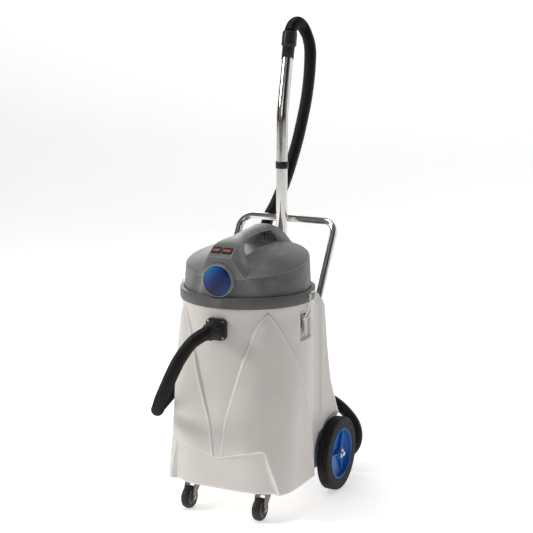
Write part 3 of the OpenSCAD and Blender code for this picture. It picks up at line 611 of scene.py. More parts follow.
def body_field(t, z):
    """Outer radius of the front and sides, with the two raised corner leaves. t is -90 at the front to 90 at the back."""
    front = t + 90
    rnd = cone_r(z) - 3.2 * sstep((690 - z) / 40)
    sq = rounded(square_half(z), corner_r(z), fold(t))
    tl = ip(z, (90, -89.5), (209, -86.9), (304, -84), (334, -82.4), (429, -75.4), (544, -66.3), (617, -58.5), (655, -52.5), (684, -45.9))
    tr = ip(z, (90, 13.9), (209, 10), (304, 6.5), (382, -1.3), (458, -9.7), (541, -21.9), (615, -33.7), (655, -40.5), (684, -45.9))
    k = np.pi / 180 * 222
    dl = (t - tl) * k * ip(z, (90, 1.0), (300, 0.99), (540, 0.93), (617, 0.88), (684, 0.8))
    dr = (tr - t) * k * ip(z, (90, 1.0), (300, 0.96), (540, 0.86), (617, 0.84), (684, 0.8))
    d = smin(dl, dr, 3)
    m = sstep((d + 3) / 5.5)
    leaf = np.maximum(sq, rnd + 3.0) + 1.7 * np.exp(-((d - 4) / 3.6) ** 2)
    leaf = leaf + (rnd - leaf) * sstep((z - 672) / 16)
    r = rnd * (1 - m) + leaf * m
    r = np.where(t > 24, rnd, r)
    # the recessed panel low on the front
    hx = ip(z, (92, 216), (203, 220), (250, 222))
    hy = ip(z, (92, 196), (203, 210), (250, 214))
    a = np.radians(np.clip(front, 0, 90))
    panel = 1 / ((np.abs(np.sin(a)) / hx) ** 3.6 + (np.abs(np.cos(a)) / hy) ** 3.6) ** (1 / 3.6)
    ka = np.pi / 180 * 235
    ez = 203 + 42 * front / 38.7
    d1 = (ez - z) * 0.965
    tf = ip(z, (92, 49.3), (150, 45.0), (200, 41.6), (245, 38.9))
    d2 = (tf - front) * ka * 0.93
    dd = smin(d1, d2, 10)
    pm = sstep((dd + 2) / ip(front, (0, 5), (34, 5.5), (42, 9)))
    r = r * (1 - pm) + np.minimum(panel, r) * pm
    return r


COL_X = ((92, 205), (237, 205), (283, 204.5), (375, 203.5), (504, 202), (646, 200), (664, 196), (676, 188), (683, 176), (687, 160), (690, 140))
COL_Y = ((92, 322), (237, 305), (283, 282), (330, 261), (375, 241), (440, 226), (504, 214), (560, 206), (646, 193), (664, 186), (676, 175), (683, 160), (687, 144), (690, 130))
COL_R = ((92, 12), (237, 14), (283, 18), (375, 26), (504, 30), (646, 30), (690, 26))


def column_field(t, z):
    X, Y, R = ip(z, *COL_X), ip(z, *COL_Y), ip(z, *COL_R)
    a = np.radians(np.clip(t, 1, 89))
    c, s = np.cos(a), np.sin(a)
    r = np.minimum(X / c, Y / s)
    cx, cy = X - R, Y - R
    d = cx * c + cy * s
    q = R * R - cx * cx - cy * cy + d * d
    corner = (np.arctan2(cy, X) <= a) & (a <= np.arctan2(Y, cx))
    return np.where(corner & (q > 0), d + np.sqrt(np.maximum(q, 0)), r)


def tank_field(T, z, inner=False):
    t = np.where(T > 90, 180 - T, T)
    r = body_field(t, z)
    a = np.radians(np.clip(t, 1, 90))
    back = np.where(t > 5, 203 / np.sin(a), 999)
    r = np.where(t > 5, smin(r, back, 10), r)
    # the sides run out almost flat before they reach the rear columns
    w = sstep((t - 11) / 8) * sstep((40 - t) / 3)
    flat = ip(z, (92, 200), (300, 198.5), (660, 196.5), (690, 190), (700, 180)) / np.cos(np.radians(np.clip(t, 0, 60)))
    r = np.where((t > 11) & (t < 40), r + (smax(r, flat, 5) - r) * w, r)
    if inner:
        return np.where((np.abs(t) < 14) & (z > 556), np.minimum(r - 6, 188 / np.cos(np.radians(t))), r - 6)
    # rear columns
    col = column_field(t, z)
    start, end = 33.0, ip(z, (92, 63), (690, 61))
    w = sstep((t - start) / 3.4) * sstep((end - t) / 3.0)
    up = smax(r, col, 6)
    r = r + (up - r) * w * (z < 690.5)
    # wheel arches, their axis along X at y 224, z 125
    rad = np.radians(t)
    y = np.minimum(r, 191 / np.maximum(0.05, np.cos(rad))) * np.sin(rad)
    ins = sstep((135 - np.sqrt((y - 224) ** 2 + (z - 125) ** 2)) / 7)
    cut = 191 / np.maximum(0.05, np.cos(rad))
    r = np.where((t > 10) & (t < 66) & (r > cut), r + (cut - r) * ins, r)
    # behind the wheels the columns end above the axle
    y2 = r * np.sin(rad)
    low = sstep((ip(np.abs(y2), (200, 184), (260, 209), (320, 240)) - z) / 20)
    r = np.where((t > 36) & (t < 66), r + (smin(r, back, 6) - r) * low, r)
    # latch pockets
    yy = r * np.sin(rad)
    dp = smin(smin(yy + 41, 42 - yy, 4), smin(z - 570, 694 - z, 4) * 1.0, 4)
    pocket = sstep((dp + 2) / 6)
    inside = ip(z, (560, 206), (575, 199), (600, 195.8), (690, 195.8)) / np.maximum(0.05, np.cos(rad))
    r = np.where((np.abs(t) < 16) & (z > 556), r + (np.minimum(inside, r) - r) * pocket, r)
    return r


def make_tank():
    half = np.concatenate([np.arange(-90, 15, 0.5), np.arange(15, 32, 1.0), np.arange(32, 38, 0.5), np.arange(38, 57, 1.0), np.arange(57, 64.5, 0.4), np.arange(65, 90.1, 1.25)])
    half[-1] = 90
    T = np.concatenate([half, (180 - half[-2:0:-1])])
    zs = np.concatenate([[92.0, 93.2, 95.5, 99], np.arange(102, 162, 3.0), np.arange(162, 256, 1.5), np.arange(256, 566, 3.0), np.arange(566, 584, 2.0), np.arange(584, 660, 3.0),
                         np.arange(660, 690, 1.5), [690.4, 691.2, 693, 697, 700, 701.6, 702]])
    TT, ZZ = np.meshgrid(T, zs)
    R = tank_field(TT, ZZ)
    edge = np.interp(zs, [92, 93.2, 95.5, 99, 102, 699, 701.6, 702], [5, 2.2, 0.7, 0, 0, 0, 0.8, 2.5])
    R = R - edge[:, None]
    rad = np.radians(T)
    rings = [np.stack([R[i] * np.cos(rad), R[i] * np.sin(rad), np.full(len(T), zs[i])], 1) for i in range(len(zs))]
    # inside of the mouth, down the inner wall to the floor
    zi = np.concatenate([[702, 701, 696], np.arange(680, 130, -16.0), [120, 112, 108]])
    RI = tank_field(*np.meshgrid(T, zi), inner=True)
    RI = np.minimum(RI, 206 + 0 * RI) if False else RI
    off = np.interp(zi, [108, 112, 120, 130, 200], [34, 16, 6, 2, 0])
    RI = RI - off[:, None] - (np.maximum(0, 250 - zi) * 0.10)[:, None]
    RI[:3] = np.minimum(RI[:3], 206.5)
    inner = [np.stack([RI[i] * np.cos(rad), RI[i] * np.sin(rad), np.full(len(T), zi[i])], 1) for i in range(len(zi))]
    # underside: a short skirt, then the base plate
    R0 = R[0]
    under = []
    for dr, z in ((0.0, 92.0), (3.5, 92.6), (6.0, 95.5), (6.4, 100.0)):
        q = R0 - dr
        under.append(np.stack([q * np.cos(rad), q * np.sin(rad), np.full(len(T), z)], 1))
    rings = under[::-1][:-1] + rings + inner
    v, f = loft(rings)
    ob = put("tank_moulding", v, f, "white", "root", "tank")
    # channel for the axle, the drain hole and the inlet hole
    y0 = 224
    chan = prism([(y0 - 24.5, 80), (y0 + 24.5, 80), (y0 + 24.5, 140), (y0 + 17, 147.2), (y0 - 17, 147.2), (y0 - 24.5, 140)], -300, 300, "x")
    inlet = tube_solid(26.2, 60, "y", (0, -250, 627))
    drain = tube_solid(18.2, 40, "y", (0, 180, 170))
    boolean(ob, [chan, inlet, drain])
    tidy(ob, 38)
    return ob


tank = make_tank()




# ------------------------------------------------------------------ head
def crease_z(y):
    return 818 + 0.15 * y


def dome_solid(d=0.0, top=40.0):
    """The cover without its grip; d insets it for the hollow."""
    a = np.linspace(0, 2 * np.pi, 180, endpoint=False)
    c, s = np.cos(a), np.sin(a)
    rings = []
    for k in (0, 0.25, 0.5, 0.75, 0.98):
        r = 206 - 5.6 * k - d
        rings.append(np.stack([r * c, r * s, 726.4 - (3 if d else 0) + (crease_z(200 * s) - 726.4 - d) * k], 1))
    for k in (0.985, 0.93, 0.86, 0.78, 0.7, 0.6, 0.5, 0.4, 0.3, 0.2, 0.1):
        r = (200 - d) * k
        rings.append(np.stack([r * c, r * s, crease_z(r * s) + top * (1 - k ** 2.4) - d], 1))
    return loft(rings)


# the grip, front to back: y, height of its side edges, half width there, crown, how fast the sides flare below
GRIP = [(-201, 853.5, 41, 0, 0.56), (-185, 864.4, 40.5, 0, 0.56), (-162, 879.8, 40, 0.6, 0.56), (-140, 888.5, 37.5, 2, 0.5), (-111, 893.5, 33, 3.5, 0.42),
        (-80, 896, 27.5, 4.5, 0.30), (-50, 899, 23.5, 5, 0.25), (-6, 904.5, 21, 5, 0.25), (40, 907.5, 21.5, 5.5, 0.3), (75, 909.5, 25, 6, 0.5),
        (105, 908, 30, 7.5, 0.85), (130, 903.5, 35.5, 8.5, 0.9), (150, 895, 42.5, 9, 0.9), (162, 884, 50, 8, 0.9), (171, 869, 60, 5, 0.9), (180, 848, 70, 1, 0.7), (184, 836, 74, 0, 0.5)]
GAP = [(-115, 843), (-113.5, 856), (-108, 868), (-96, 874.5), (-80, 879.5), (-46, 888.5), (-8, 893), (41, 896), (69, 897), (97, 897.5), (99, 880), (100, 856), (100.5, 849)]


def grip_solid():
    rings = []
    for y, ze, w, cr, sl in catmull(GRIP, 5):
        half = [(w + (ze - 765) * sl, 765), (w + (ze - 800) * sl, 800), (w + (ze - 835) * sl, 835), (w + (ze - 860) * sl if ze > 862 else w, min(860, ze)),
                (w, ze), (w * 0.93, ze + cr * 0.32), (w * 0.72, ze + cr * 0.64), (w * 0.4, ze + cr * 0.9), (0, ze + cr)]
        half = [(min(x, 190), z) for x, z in half]
        ring = [(x, y, z) for x, z in half] + [(-x, y, z) for x, z in half[-2::-1]]
        rings.append(ring)
    return loft(rings)


def loose(ob):
    v = np.array([p.co for p in ob.data.vertices]) * 1000
    v[:, 1] -= DY
    f = [tuple(p.vertices) for p in ob.data.polygons]
    bpy.data.objects.remove(ob)
    return v, f


def make_head():
    ob = put("head_cover_shell", *dome_solid(), "cover", None, "head_cover")
    g = put("grip", *grip_solid(), "cover", None)
    # the apron round the badge stands a little proud of the wall, down to an edge just above the badge's middle
    a = np.linspace(0, 2 * np.pi, 180, endpoint=False)
    front = np.cos(a + np.pi / 2) > math.cos(math.radians(33))
    rings = [np.stack([r * np.cos(a), r * np.sin(a), np.full(180, z)], 1) for r, z in ((np.full(180, 199.6), 740.0), (np.full(180, 199.6), 787.0), (np.where(front, 204.8, 199.6), 787.4), (np.where(front, 204.8, 199.6), 940.0))]
    boolean(g, [loft(rings)], "INTERSECT")
    boolean(ob, [loose(g)], "UNION")
    side = [(p[1], p[2]) for p in catmull([(0, y, z) for y, z in GAP[1:-3]], 4)]
    gap = [(-117.5, 812), GAP[0]] + side + GAP[-2:] + [(101.5, 812)]
    hole = put("gap", *prism(gap, -120, 120, "x"), "cover", None)
    # the opening runs down to the cover's own crown, where a shallow well is sunk for the fingers
    boolean(hole, [dome_solid()])
    plan = [(-30, -84), (30, -84), (40, -20), (52, 50), (57, 100.8), (-57, 100.8), (-52, 50), (-40, -20)]
    wv, wf = prism(plan, 0, 1, "z")
    wv[:, 2] = np.where(wv[:, 2] < 0.5, 838.5 + 0.09 * (wv[:, 1] + 84), 885)
    boolean(ob, [loose(hole), (wv, wf)])
    md = ob.modifiers.new("skin", "REMESH")
    md.mode = "VOXEL"
    md.voxel_size = 0.00175
    md.use_smooth_shade = True
    sm = ob.modifiers.new("soft", "SMOOTH")
    sm.factor = 0.5
    sm.iterations = 1
    bake(ob)
    # the hollow: motors and wiring sit inside
    boolean(ob, [dome_solid(4.2, 26.0)])
    cuts = [prism([(92, 862 - abs(x) * 0.2), (150, 862 - abs(x) * 0.2), (150, 884 + abs(x) * 0.2), (92, 884 + abs(x) * 0.2)], x - 1.9, x + 1.9, "x") for x in (-20, -10, 0, 10, 20)]
    cuts.append(tube_solid(55.2, 40, "y", (0, -236, 779)))
    for sx in (-1, 1):
        cuts.append(moved(prism([(-14.6, -11.6), (14.6, -11.6), (14.6, 11.6), (-14.6, 11.6)], -24, 20, "z"), rot("X", 33.7), (sx * 19, -176.5, 870.1)))
    cuts.append(tube_solid(10.2, 60, "y", (60, 170, 775)))
    boolean(ob, cuts)
    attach(ob, "head")
    tidy(ob, 50)
    return ob


make_head()

# ring under the cover, rounded at both edges
ringp = [(206.9, 713), (206.9, 727.8), (207.8, 729), (217.6, 729), (219.3, 728.2), (220, 726.4), (220, 696.2), (219.2, 694), (217.4, 693), (215.4, 693.4), (215.2, 695),
         (215.2, 706.6), (215, 707), (190, 707), (60, 707), (1, 707), (1, 713), (60, 713), (190, 713)]
ring_ob = put("head_ring", *lathe(ringp, 192), "ring", "head", "head_base")
boolean(ring_ob, [tube_solid(55.2, 40, "y", (0, -236, 779)), tube_solid(34, 60, "z", (86, 0, 680)), tube_solid(34, 60, "z", (-86, 0, 680))])
tidy(ring_ob, 40)

# badge: a rounded bezel round a plain domed disc
put("badge_bezel_ring", *lathe([(48.9, 9.4), (48.9, 14.0), (49.3, 15.2), (50.2, 15.8), (51.2, 15.4), (51.8, 14.2), (52.4, 13.6), (53.4, 12.8), (54.2, 11), (54.5, 8), (54.5, 2), (53, 0.2), (1, 0.2), (1, 9.4)], 160, "-y", (0, -196.2, 779)),
    "silver", "head", "badge_bezel", sharp=50)
put("badge_lens", *lathe([(48.7, 10.0), (48.7, 12.6), (48.2, 13.3), (46.5, 13.7), (30, 14.8), (12, 15.4), (0.5, 15.45), (0.5, 10.0)], 128, "-y", (0, -196.2, 779)),
    "badge", "head", "badge_disc", sharp=60)


# ------------------------------------------------------------------ tubes
def arc_path(pts, radius, step=6):
    """A path of straight runs joined by round bends."""
    p = [np.array(q, float) for q in pts]
    out = [p[0]]
    for i in range(1, len(p) - 1):
        u, w = p[i - 1] - p[i], p[i + 1] - p[i]
        u, w = u / np.linalg.norm(u), w / np.linalg.norm(w)
        ang = np.arccos(np.clip(u @ w, -1, 1))
        t = radius / np.tan(ang / 2)
        a, b = p[i] + u * t, p[i] + w * t
        mid = (u + w) / np.linalg.norm(u + w)
        c = p[i] + mid * radius / np.sin(ang / 2)
        n = max(4, int((np.pi - ang) * radius / step))
        va, vb = (a - c) / radius, (b - c) / radius
        om = np.arccos(np.clip(va @ vb, -1, 1))
        for k in range(n + 1):
            s = k / n
            out.append(c + radius * (np.sin((1 - s) * om) * va + np.sin(s * om) * vb) / np.sin(om))
    out.append(p[-1])
    return np.array(out)


leg_lo = np.array((177, 173.0, 675.0))
leg_hi = np.array((177, 308.0, 904.0))
leg_d = (leg_hi - leg_lo) / np.linalg.norm(leg_hi - leg_lo)
low = leg_lo - leg_d * 96
mid_l = low * np.array((-1, 1, 1))
path = arc_path([mid_l, leg_hi * np.array((-1, 1, 1)), leg_hi, low], 44, 3)
put("push_handle_tube", *sweep(path, 12.5, 48, (1, 0, 0)), "chrome", "root", "push_handle", sharp=50)

WB = math.radians(12)


def bent(p, h=0.0):
    """From the upper wand's own axes (x, y across, z along) to the machine's."""
    x, y, z = p
    y -= 240
    return np.array((x, 253 + 240 + y * math.cos(WB) + z * math.sin(WB), 1240 - y * math.sin(WB) + z * math.cos(WB)))


# lower tube with its thinner tip
r0 = 19
prof = [(16.6, 360.6), (17.4, 360), (18, 360.8), (18, 418), (18.4, 420.5), (19, 422), (19, 1093.5), (16.7, 1093.5)]
put("wand_tube_lower", *lathe(prof, 64, "z", (0, 253, 0)), "chrome", "wand", "wand_lower_tube", sharp=40)
up = [np.array((0, 253, 1094.5))] + [np.array((0, 253, z)) for z in (1120, 1160, 1200, 1239.9)]
for k in range(1, 15):
    a = WB * k / 14
    up.append(np.array((0, 253 + 240 - 240 * math.cos(a), 1240 + 240 * math.sin(a))))
for h in (20, 60, 100, 140, 161.8):
    up.append(bent((0, 0, h)))
put("wand_tube_upper", *sweep(np.array(up), 19, 64, (1, 0, 0)), "chrome", "wand", "wand_upper_tube", sharp=50)
put("wand_joint_sleeve", *lathe([(19.05, 1082), (20.9, 1082), (21.6, 1083), (21.6, 1092.6), (20.8, 1093.3), (20.8, 1094.7), (21.6, 1095.4), (21.6, 1105), (20.9, 1106), (19.05, 1106)], 64, "z", (0, 253, 0)),
    "cuff", "wand", "wand_joint_ring", sharp=40)
put("wand_rest_collar", *lathe([(19.05, 668.4), (23.6, 668.4), (25, 669.8), (25, 678.6), (23.4, 680.3), (19.05, 680.3)], 64, "z", (0, 253, 0)), "black", "wand", "wand_stop_ring", sharp=40)


def make_wand_cuff():
    prof = [(19.1, 151), (19.9, 151), (20.5, 151.8), (20.9, 197), (21.8, 200), (25.2, 204.6), (26, 207), (25.9, 209.5), (25.4, 211.5), (25.3, 245), (24.8, 248.4), (23.2, 250), (21.3, 250), (21.3, 205), (19.1, 175)]
    v, f = lathe(prof, 72)
    # four long grip flats round the wide part and a stepped collar
    a = np.arctan2(v[:, 1], v[:, 0])
    r = np.hypot(v[:, 0], v[:, 1])
    k = np.where((r > 23.5), 1 - 0.012 * (0.5 + 0.5 * np.cos(a * 12)), 1)
    v[:, 0] *= k
    v[:, 1] *= k
    low = v[:, 2] < 153
    v[low, 2] += 5 + v[low, 0] * 0.20 - v[low, 1] * 0.28
    v = np.array([bent(p) for p in v])
    put("hose_cuff_upper", v, f, "cuff", "wand", "hose_cuff_wand", sharp=35)


make_wand_cuff()


# ------------------------------------------------------------------ inlet on the front of the tank
def rounded_rect(w, h, r, n=10):
    pts = []
    for cx, cy, a0 in ((w / 2 - r, h / 2 - r, 0), (-w / 2 + r, h / 2 - r, 90), (-w / 2 + r, -h / 2 + r, 180), (w / 2 - r, -h / 2 + r, 270)):
        for k in range(n + 1):
            a = math.radians(a0 + 90 * k / n)
            pts.append((cx + r * math.cos(a), cy + r * math.sin(a)))
    return np.array(pts)


def plate_stack(levels, at, n=10):
    """Loft of rounded rectangles (w, h, r, depth) stacked towards -Y."""
    rings = []
    for w, h, r, d in levels:
        p = rounded_rect(w, h, r, n)
        rings.append(np.stack([p[:, 0] + at[0], np.full(len(p), at[1] - d), p[:, 1] + at[2]], 1))
    return loft(rings)


fl = put("inlet_flange_plate", *plate_stack([(69, 69, 16, -7), (69.6, 69.6, 16, 9), (69, 69, 15.8, 11.8), (66.6, 66.6, 15, 13), (61, 61, 17, 13.1), (60, 60, 18, 16), (58, 58, 19, 17.2)], (0, -213, 627)),
         "black", None, "inlet_flange")
spig = lathe([(20.8, -24), (26, -24), (26, 10), (25.6, 14), (25, 16), (25, 27), (24, 28), (22, 28), (20.8, 27)], 64, "-y", (0, -213, 627))
sp = put("spigot", *spig, "black", None)
sv = np.array([p.co for p in sp.data.vertices]) * 1000
sv[:, 1] -= DY
sf = [tuple(p.vertices) for p in sp.data.polygons]
bpy.data.objects.remove(sp)
boolean(fl, [tube_solid(21, 80, "-y", (0, -190, 627))] + [tube_solid(4.7, 20, "-y", (x, -223, 627 + z)) for x in (-26, 26) for z in (-26, 26)])
bm_v = np.array([p.co for p in fl.data.vertices]) * 1000
bm_v[:, 1] -= DY
bm_f = [tuple(p.vertices) for p in fl.data.polygons]
bpy.data.objects.remove(fl)
fl = put("inlet_flange_plate", *merge((bm_v, bm_f), (sv, sf)), "black", "root", "inlet_flange", sharp=35)


def make_tank_cuff():
    n = 180
    a = np.linspace(0, 2 * np.pi, n, endpoint=False)
    rib = np.clip(0.5 + 0.9 * np.cos(a * 14), 0, 1)
    rib = rib * rib * (3 - 2 * rib)
    rings = []
    for d, r, q in ((0, 17.2, 0), (0, 27.6, 0), (0.6, 28.7, 0), (1.6, 29, 0), (6.4, 29, 0), (7.6, 28.5, 0), (8, 27, 0), (8.4, 25.4, 1), (10, 25.2, 1), (27, 25.0, 1), (29.4, 24.6, 0.8), (31, 23.6, 0.2),
                    (31.6, 22.6, 0), (41.4, 22.4, 0), (42.6, 21.9, 0), (42.9, 21.2, 0), (42.9, 17.2, 0)):
        rr = r + q * 2.6 * rib
        rings.append(np.stack([rr * np.cos(a), np.full(n, -241.1 - d), 627 + rr * np.sin(a)], 1))
    rings.append(rings[0])
    v, f = loft(rings, caps=(False, False))
    m = len(v) - n
    f = [tuple(i if i < m else i - m for i in q) for q in f]
    put("hose_cuff_inlet", v[:m], f, "cuff", "root", "hose_cuff_tank", sharp=40)


make_tank_cuff()


# ------------------------------------------------------------------ wheels
AX = (224.0, 125.0)


def make_rear_wheel(side, name):
    """Outer face at x = 246, drawn for +X and mirrored for the other side."""
    W = 46.0
    n = 240
    a = np.linspace(0, 2 * np.pi, n, endpoint=False)

    def rev(profile, flute=None, closed=True):
        rings = []
        for i, (r, d) in enumerate(profile):
            rr = np.full(n, float(r))
            if flute is not None:
                rr = rr - flute(a, r, d)
            rings.append(np.stack([np.full(n, 246.0 - d), AX[0] + rr * np.cos(a), AX[1] + rr * np.sin(a)], 1))
        rings.append(rings[0])
        v, f = loft(rings, caps=(False, False))
        m = len(v) - n
        return v[:m], [tuple(i if i < m else i - m for i in q) for q in f]

    # tyre: raised sidewall bead, two circumferential grooves, and fine shoulder bars
    half = [(86.2, 3), (86.2, 1.2), (87.6, 0.2), (93.5, -0.0), (94.6, 1.0), (96.2, 1.0), (97.4, 0.0), (108, 0.0), (112.4, 0.3), (113.4, 1.5), (115.0, 1.5), (116, 0.4), (120.2, 0.6),
            (122.2, 1.2), (123.8, 2.6), (124.6, 4.6), (124.8, 8.6), (122.8, 9.2), (122.8, 10.8), (124.9, 11.4), (125, 15.4), (123.2, 16.0), (123.2, 17.4), (125, 18)]
    prof = half + [(r, 40.0 - d) for r, d in half[::-1]] + [(80.3, 34.0), (80.3, 6)]

    def bars(a, r, d):
        k = np.clip((r - 122.4) / 1.2, 0, 1) * (1 if (d < 9 or d > 31) else 0)
        s = 0.5 + 0.5 * np.cos(a * 72)
        return 1.5 * k * np.clip((s - 0.55) / 0.25, 0, 1)

    tyre = rev(prof, bars)
    # dished hub with a rolled rim, three tapered ribs and a boss
    hub = rev([(86.0, 2.6), (85.4, 0.8), (83.9, -0.2), (82.4, 0.2), (81.4, 1.6), (80.6, 5), (79.4, 13.5), (77.2, 18.2), (73, 20.2), (56, 20.8), (34, 20.6), (24, 19.8), (20.4, 17.6), (19.2, 13.8), (18.4, 5.2), (17.2, 3.4), (15.4, 2.8), (9, 2.8), (8.2, 3.2),
               (8.2, W), (15, W), (16.5, W - 1.5), (16.5, 26), (74, 25), (78, W - 3), (80, W - 0.6), (85.8, W - 0.6), (86.0, W - 6.4), (80.4, W - 12.4), (80.4, 6.4)])
    ribs = []
    for ang in (59, 179, 299):
        c, s = math.cos(math.radians(ang)), math.sin(math.radians(ang))
        rings = []
        for r, h, w in ((15, 6.2, 7.0), (24, 7.0, 5.4), (40, 9.2, 4.5), (58, 11.2, 4.4), (70, 12.2, 5.4), (79.6, 12.0, 8.5)):
            ring = []
            for q, d in ((-w, 21.5), (-w * 0.74, h + 2.2), (-w * 0.52, h + 0.5), (0, h), (w * 0.52, h + 0.5), (w * 0.74, h + 2.2), (w, 21.5)):
                y, z = r * c - q * s, r * s + q * c
                ring.append((246 - d, AX[0] + y, AX[1] + z))
            rings.append(ring)
        ribs.append(loft(rings))
    hub = merge(hub, *ribs)
    hexn = lathe([(8.05, 0), (10.6, 0), (10.6, 1.2), (10.0, 1.8), (7.9, 2.0), (7.9, 6.6), (7.3, 7.8), (6.0, 8.8), (4, 9.5), (2, 9.8), (0.3, 9.9), (0.3, 5.9), (8.05, 5.9)], 48, "x", (246 + 0.2, AX[0], AX[1]))
    if side < 0:
        tyre, hub, hexn = mirror(tyre), mirror(hub), mirror(hexn)
    body = "rear_wheel_" + name
    put("rear_tyre_" + name + "_treaded", *tyre, "tyre", body, "rear_tyre_" + name, sharp=32)
    put("rear_hub_" + name + "_ribbed", *hub, "blue", body, "rear_hub_" + name, sharp=32)
    return hexn


caps = [make_rear_wheel(1, "right"), make_rear_wheel(-1, "left")]
put("axle_cap_pair", *merge(*caps), "bright", "root", "axle_cap_nuts", sharp=35)


def make_castor(side, name):
    cx, cy = 129.0 * side, -142.0
    n = 120
    a = np.linspace(0, 2 * np.pi, n, endpoint=False)
    cyl = (cx, cy - 26.0, 37.5)

    def rev(profile):
        rings = [np.stack([np.full(n, cyl[0] + h), cyl[1] + r * np.cos(a), cyl[2] + r * np.sin(a)], 1) for r, h in profile]
        rings.append(rings[0])
        v, f = loft(rings, caps=(False, False))
        m = len(v) - n
        return v[:m], [tuple(i if i < m else i - m for i in q) for q in f]

    w = 15.0
    half = [(23.1, w - 2.2), (23.5, w - 1.4), (25.5, w - 0.8), (27, w - 0.2), (29, w), (30, w - 0.5), (31.0, w - 0.6), (33, w - 1.9), (35.2, w - 4.4), (36.6, w - 7.6), (37.3, w - 11.2), (37.5, 0.6)]
    put("castor_tyre_" + name + "_round", *rev(half + [(r, -h) for r, h in half[::-1]]), "castor", "castor_wheel_" + name, "castor_tyre_" + name, sharp=40)
    half = [(4.1, w + 0.7), (7.6, w + 0.7), (8.4, w + 0.2), (8.8, w - 2.6), (11.6, w - 2.9), (12.2, w - 0.9), (14.4, w - 0.9), (15.2, w - 3.6), (18.4, w - 3.8), (19.2, w - 1.4), (22.2, w - 1.3), (23.05, w - 2.0)]
    put("castor_core_" + name, *rev(half + [(r, -h) for r, h in half[::-1]]), "ring", "castor_wheel_" + name, "castor_hub_" + name, sharp=40)
    # folded fork: a crown with two cheeks that lead down to the axle
    wv = 18.5 + 0.2
    th = 2.5
    yz = [(-20.5, 85.6), (20.5, 85.6), (19.4, 80), (15, 72), (4, 58), (-12, 43), (-17.5, 31.5), (-20.5, 27.4), (-26, 25.6), (-31.6, 27.6), (-35, 32), (-35.6, 39), (-34.6, 46), (-30, 60), (-25, 76)]
    pts = catmull([(0, y, z) for y, z in yz] + [(0, yz[0][0], yz[0][1])], 3)[:-1, 1:]
    cheeks = [prism([(cy + y, z) for y, z in pts], cx + s * 16.2, cx + s * (16.2 + th), "x") for s in (-1, 1)]
    crown = lathe([(5.1, 83.9), (23.4, 83.9), (24, 84.6), (24, 86.2), (22.6, 87), (22, 88.6), (20.6, 91.2), (16, 91.6), (5.1, 91.6)], 72, "z", (cx, cy, 0))
    bridge = prism([(cx - 18.7, cy - 18), (cx + 18.7, cy - 18), (cx + 18.7, cy + 18), (cx - 18.7, cy + 18)], 82.6, 85.2, "z")
    fork = put("castor_fork_" + name + "_pressed", *merge(*cheeks, crown, bridge), "fork", "castor_" + name, "castor_fork_" + name, bevel=0.7)
    bolt = []
    for s in (-1, 1):
        hx = lathe([(0.4, 0), (7, 0), (7, 2.6), (6.2, 3.6), (0.4, 3.7)], 6 if s > 0 else 48, "x" if s > 0 else "-x", (cx + s * 18.8, cyl[1], cyl[2]))
        bolt.append(hx)
    shaft = lathe([(0.4, -21), (4, -21), (4, 21), (0.4, 21)], 32, "x", (cx, cyl[1], cyl[2]))
    put("castor_axle_" + name + "_bolt", *merge(*bolt, shaft), "steel", "castor_" + name, "castor_axle_" + name, sharp=30, bevel=0.4)


make_castor(1, "right")
make_castor(-1, "left")


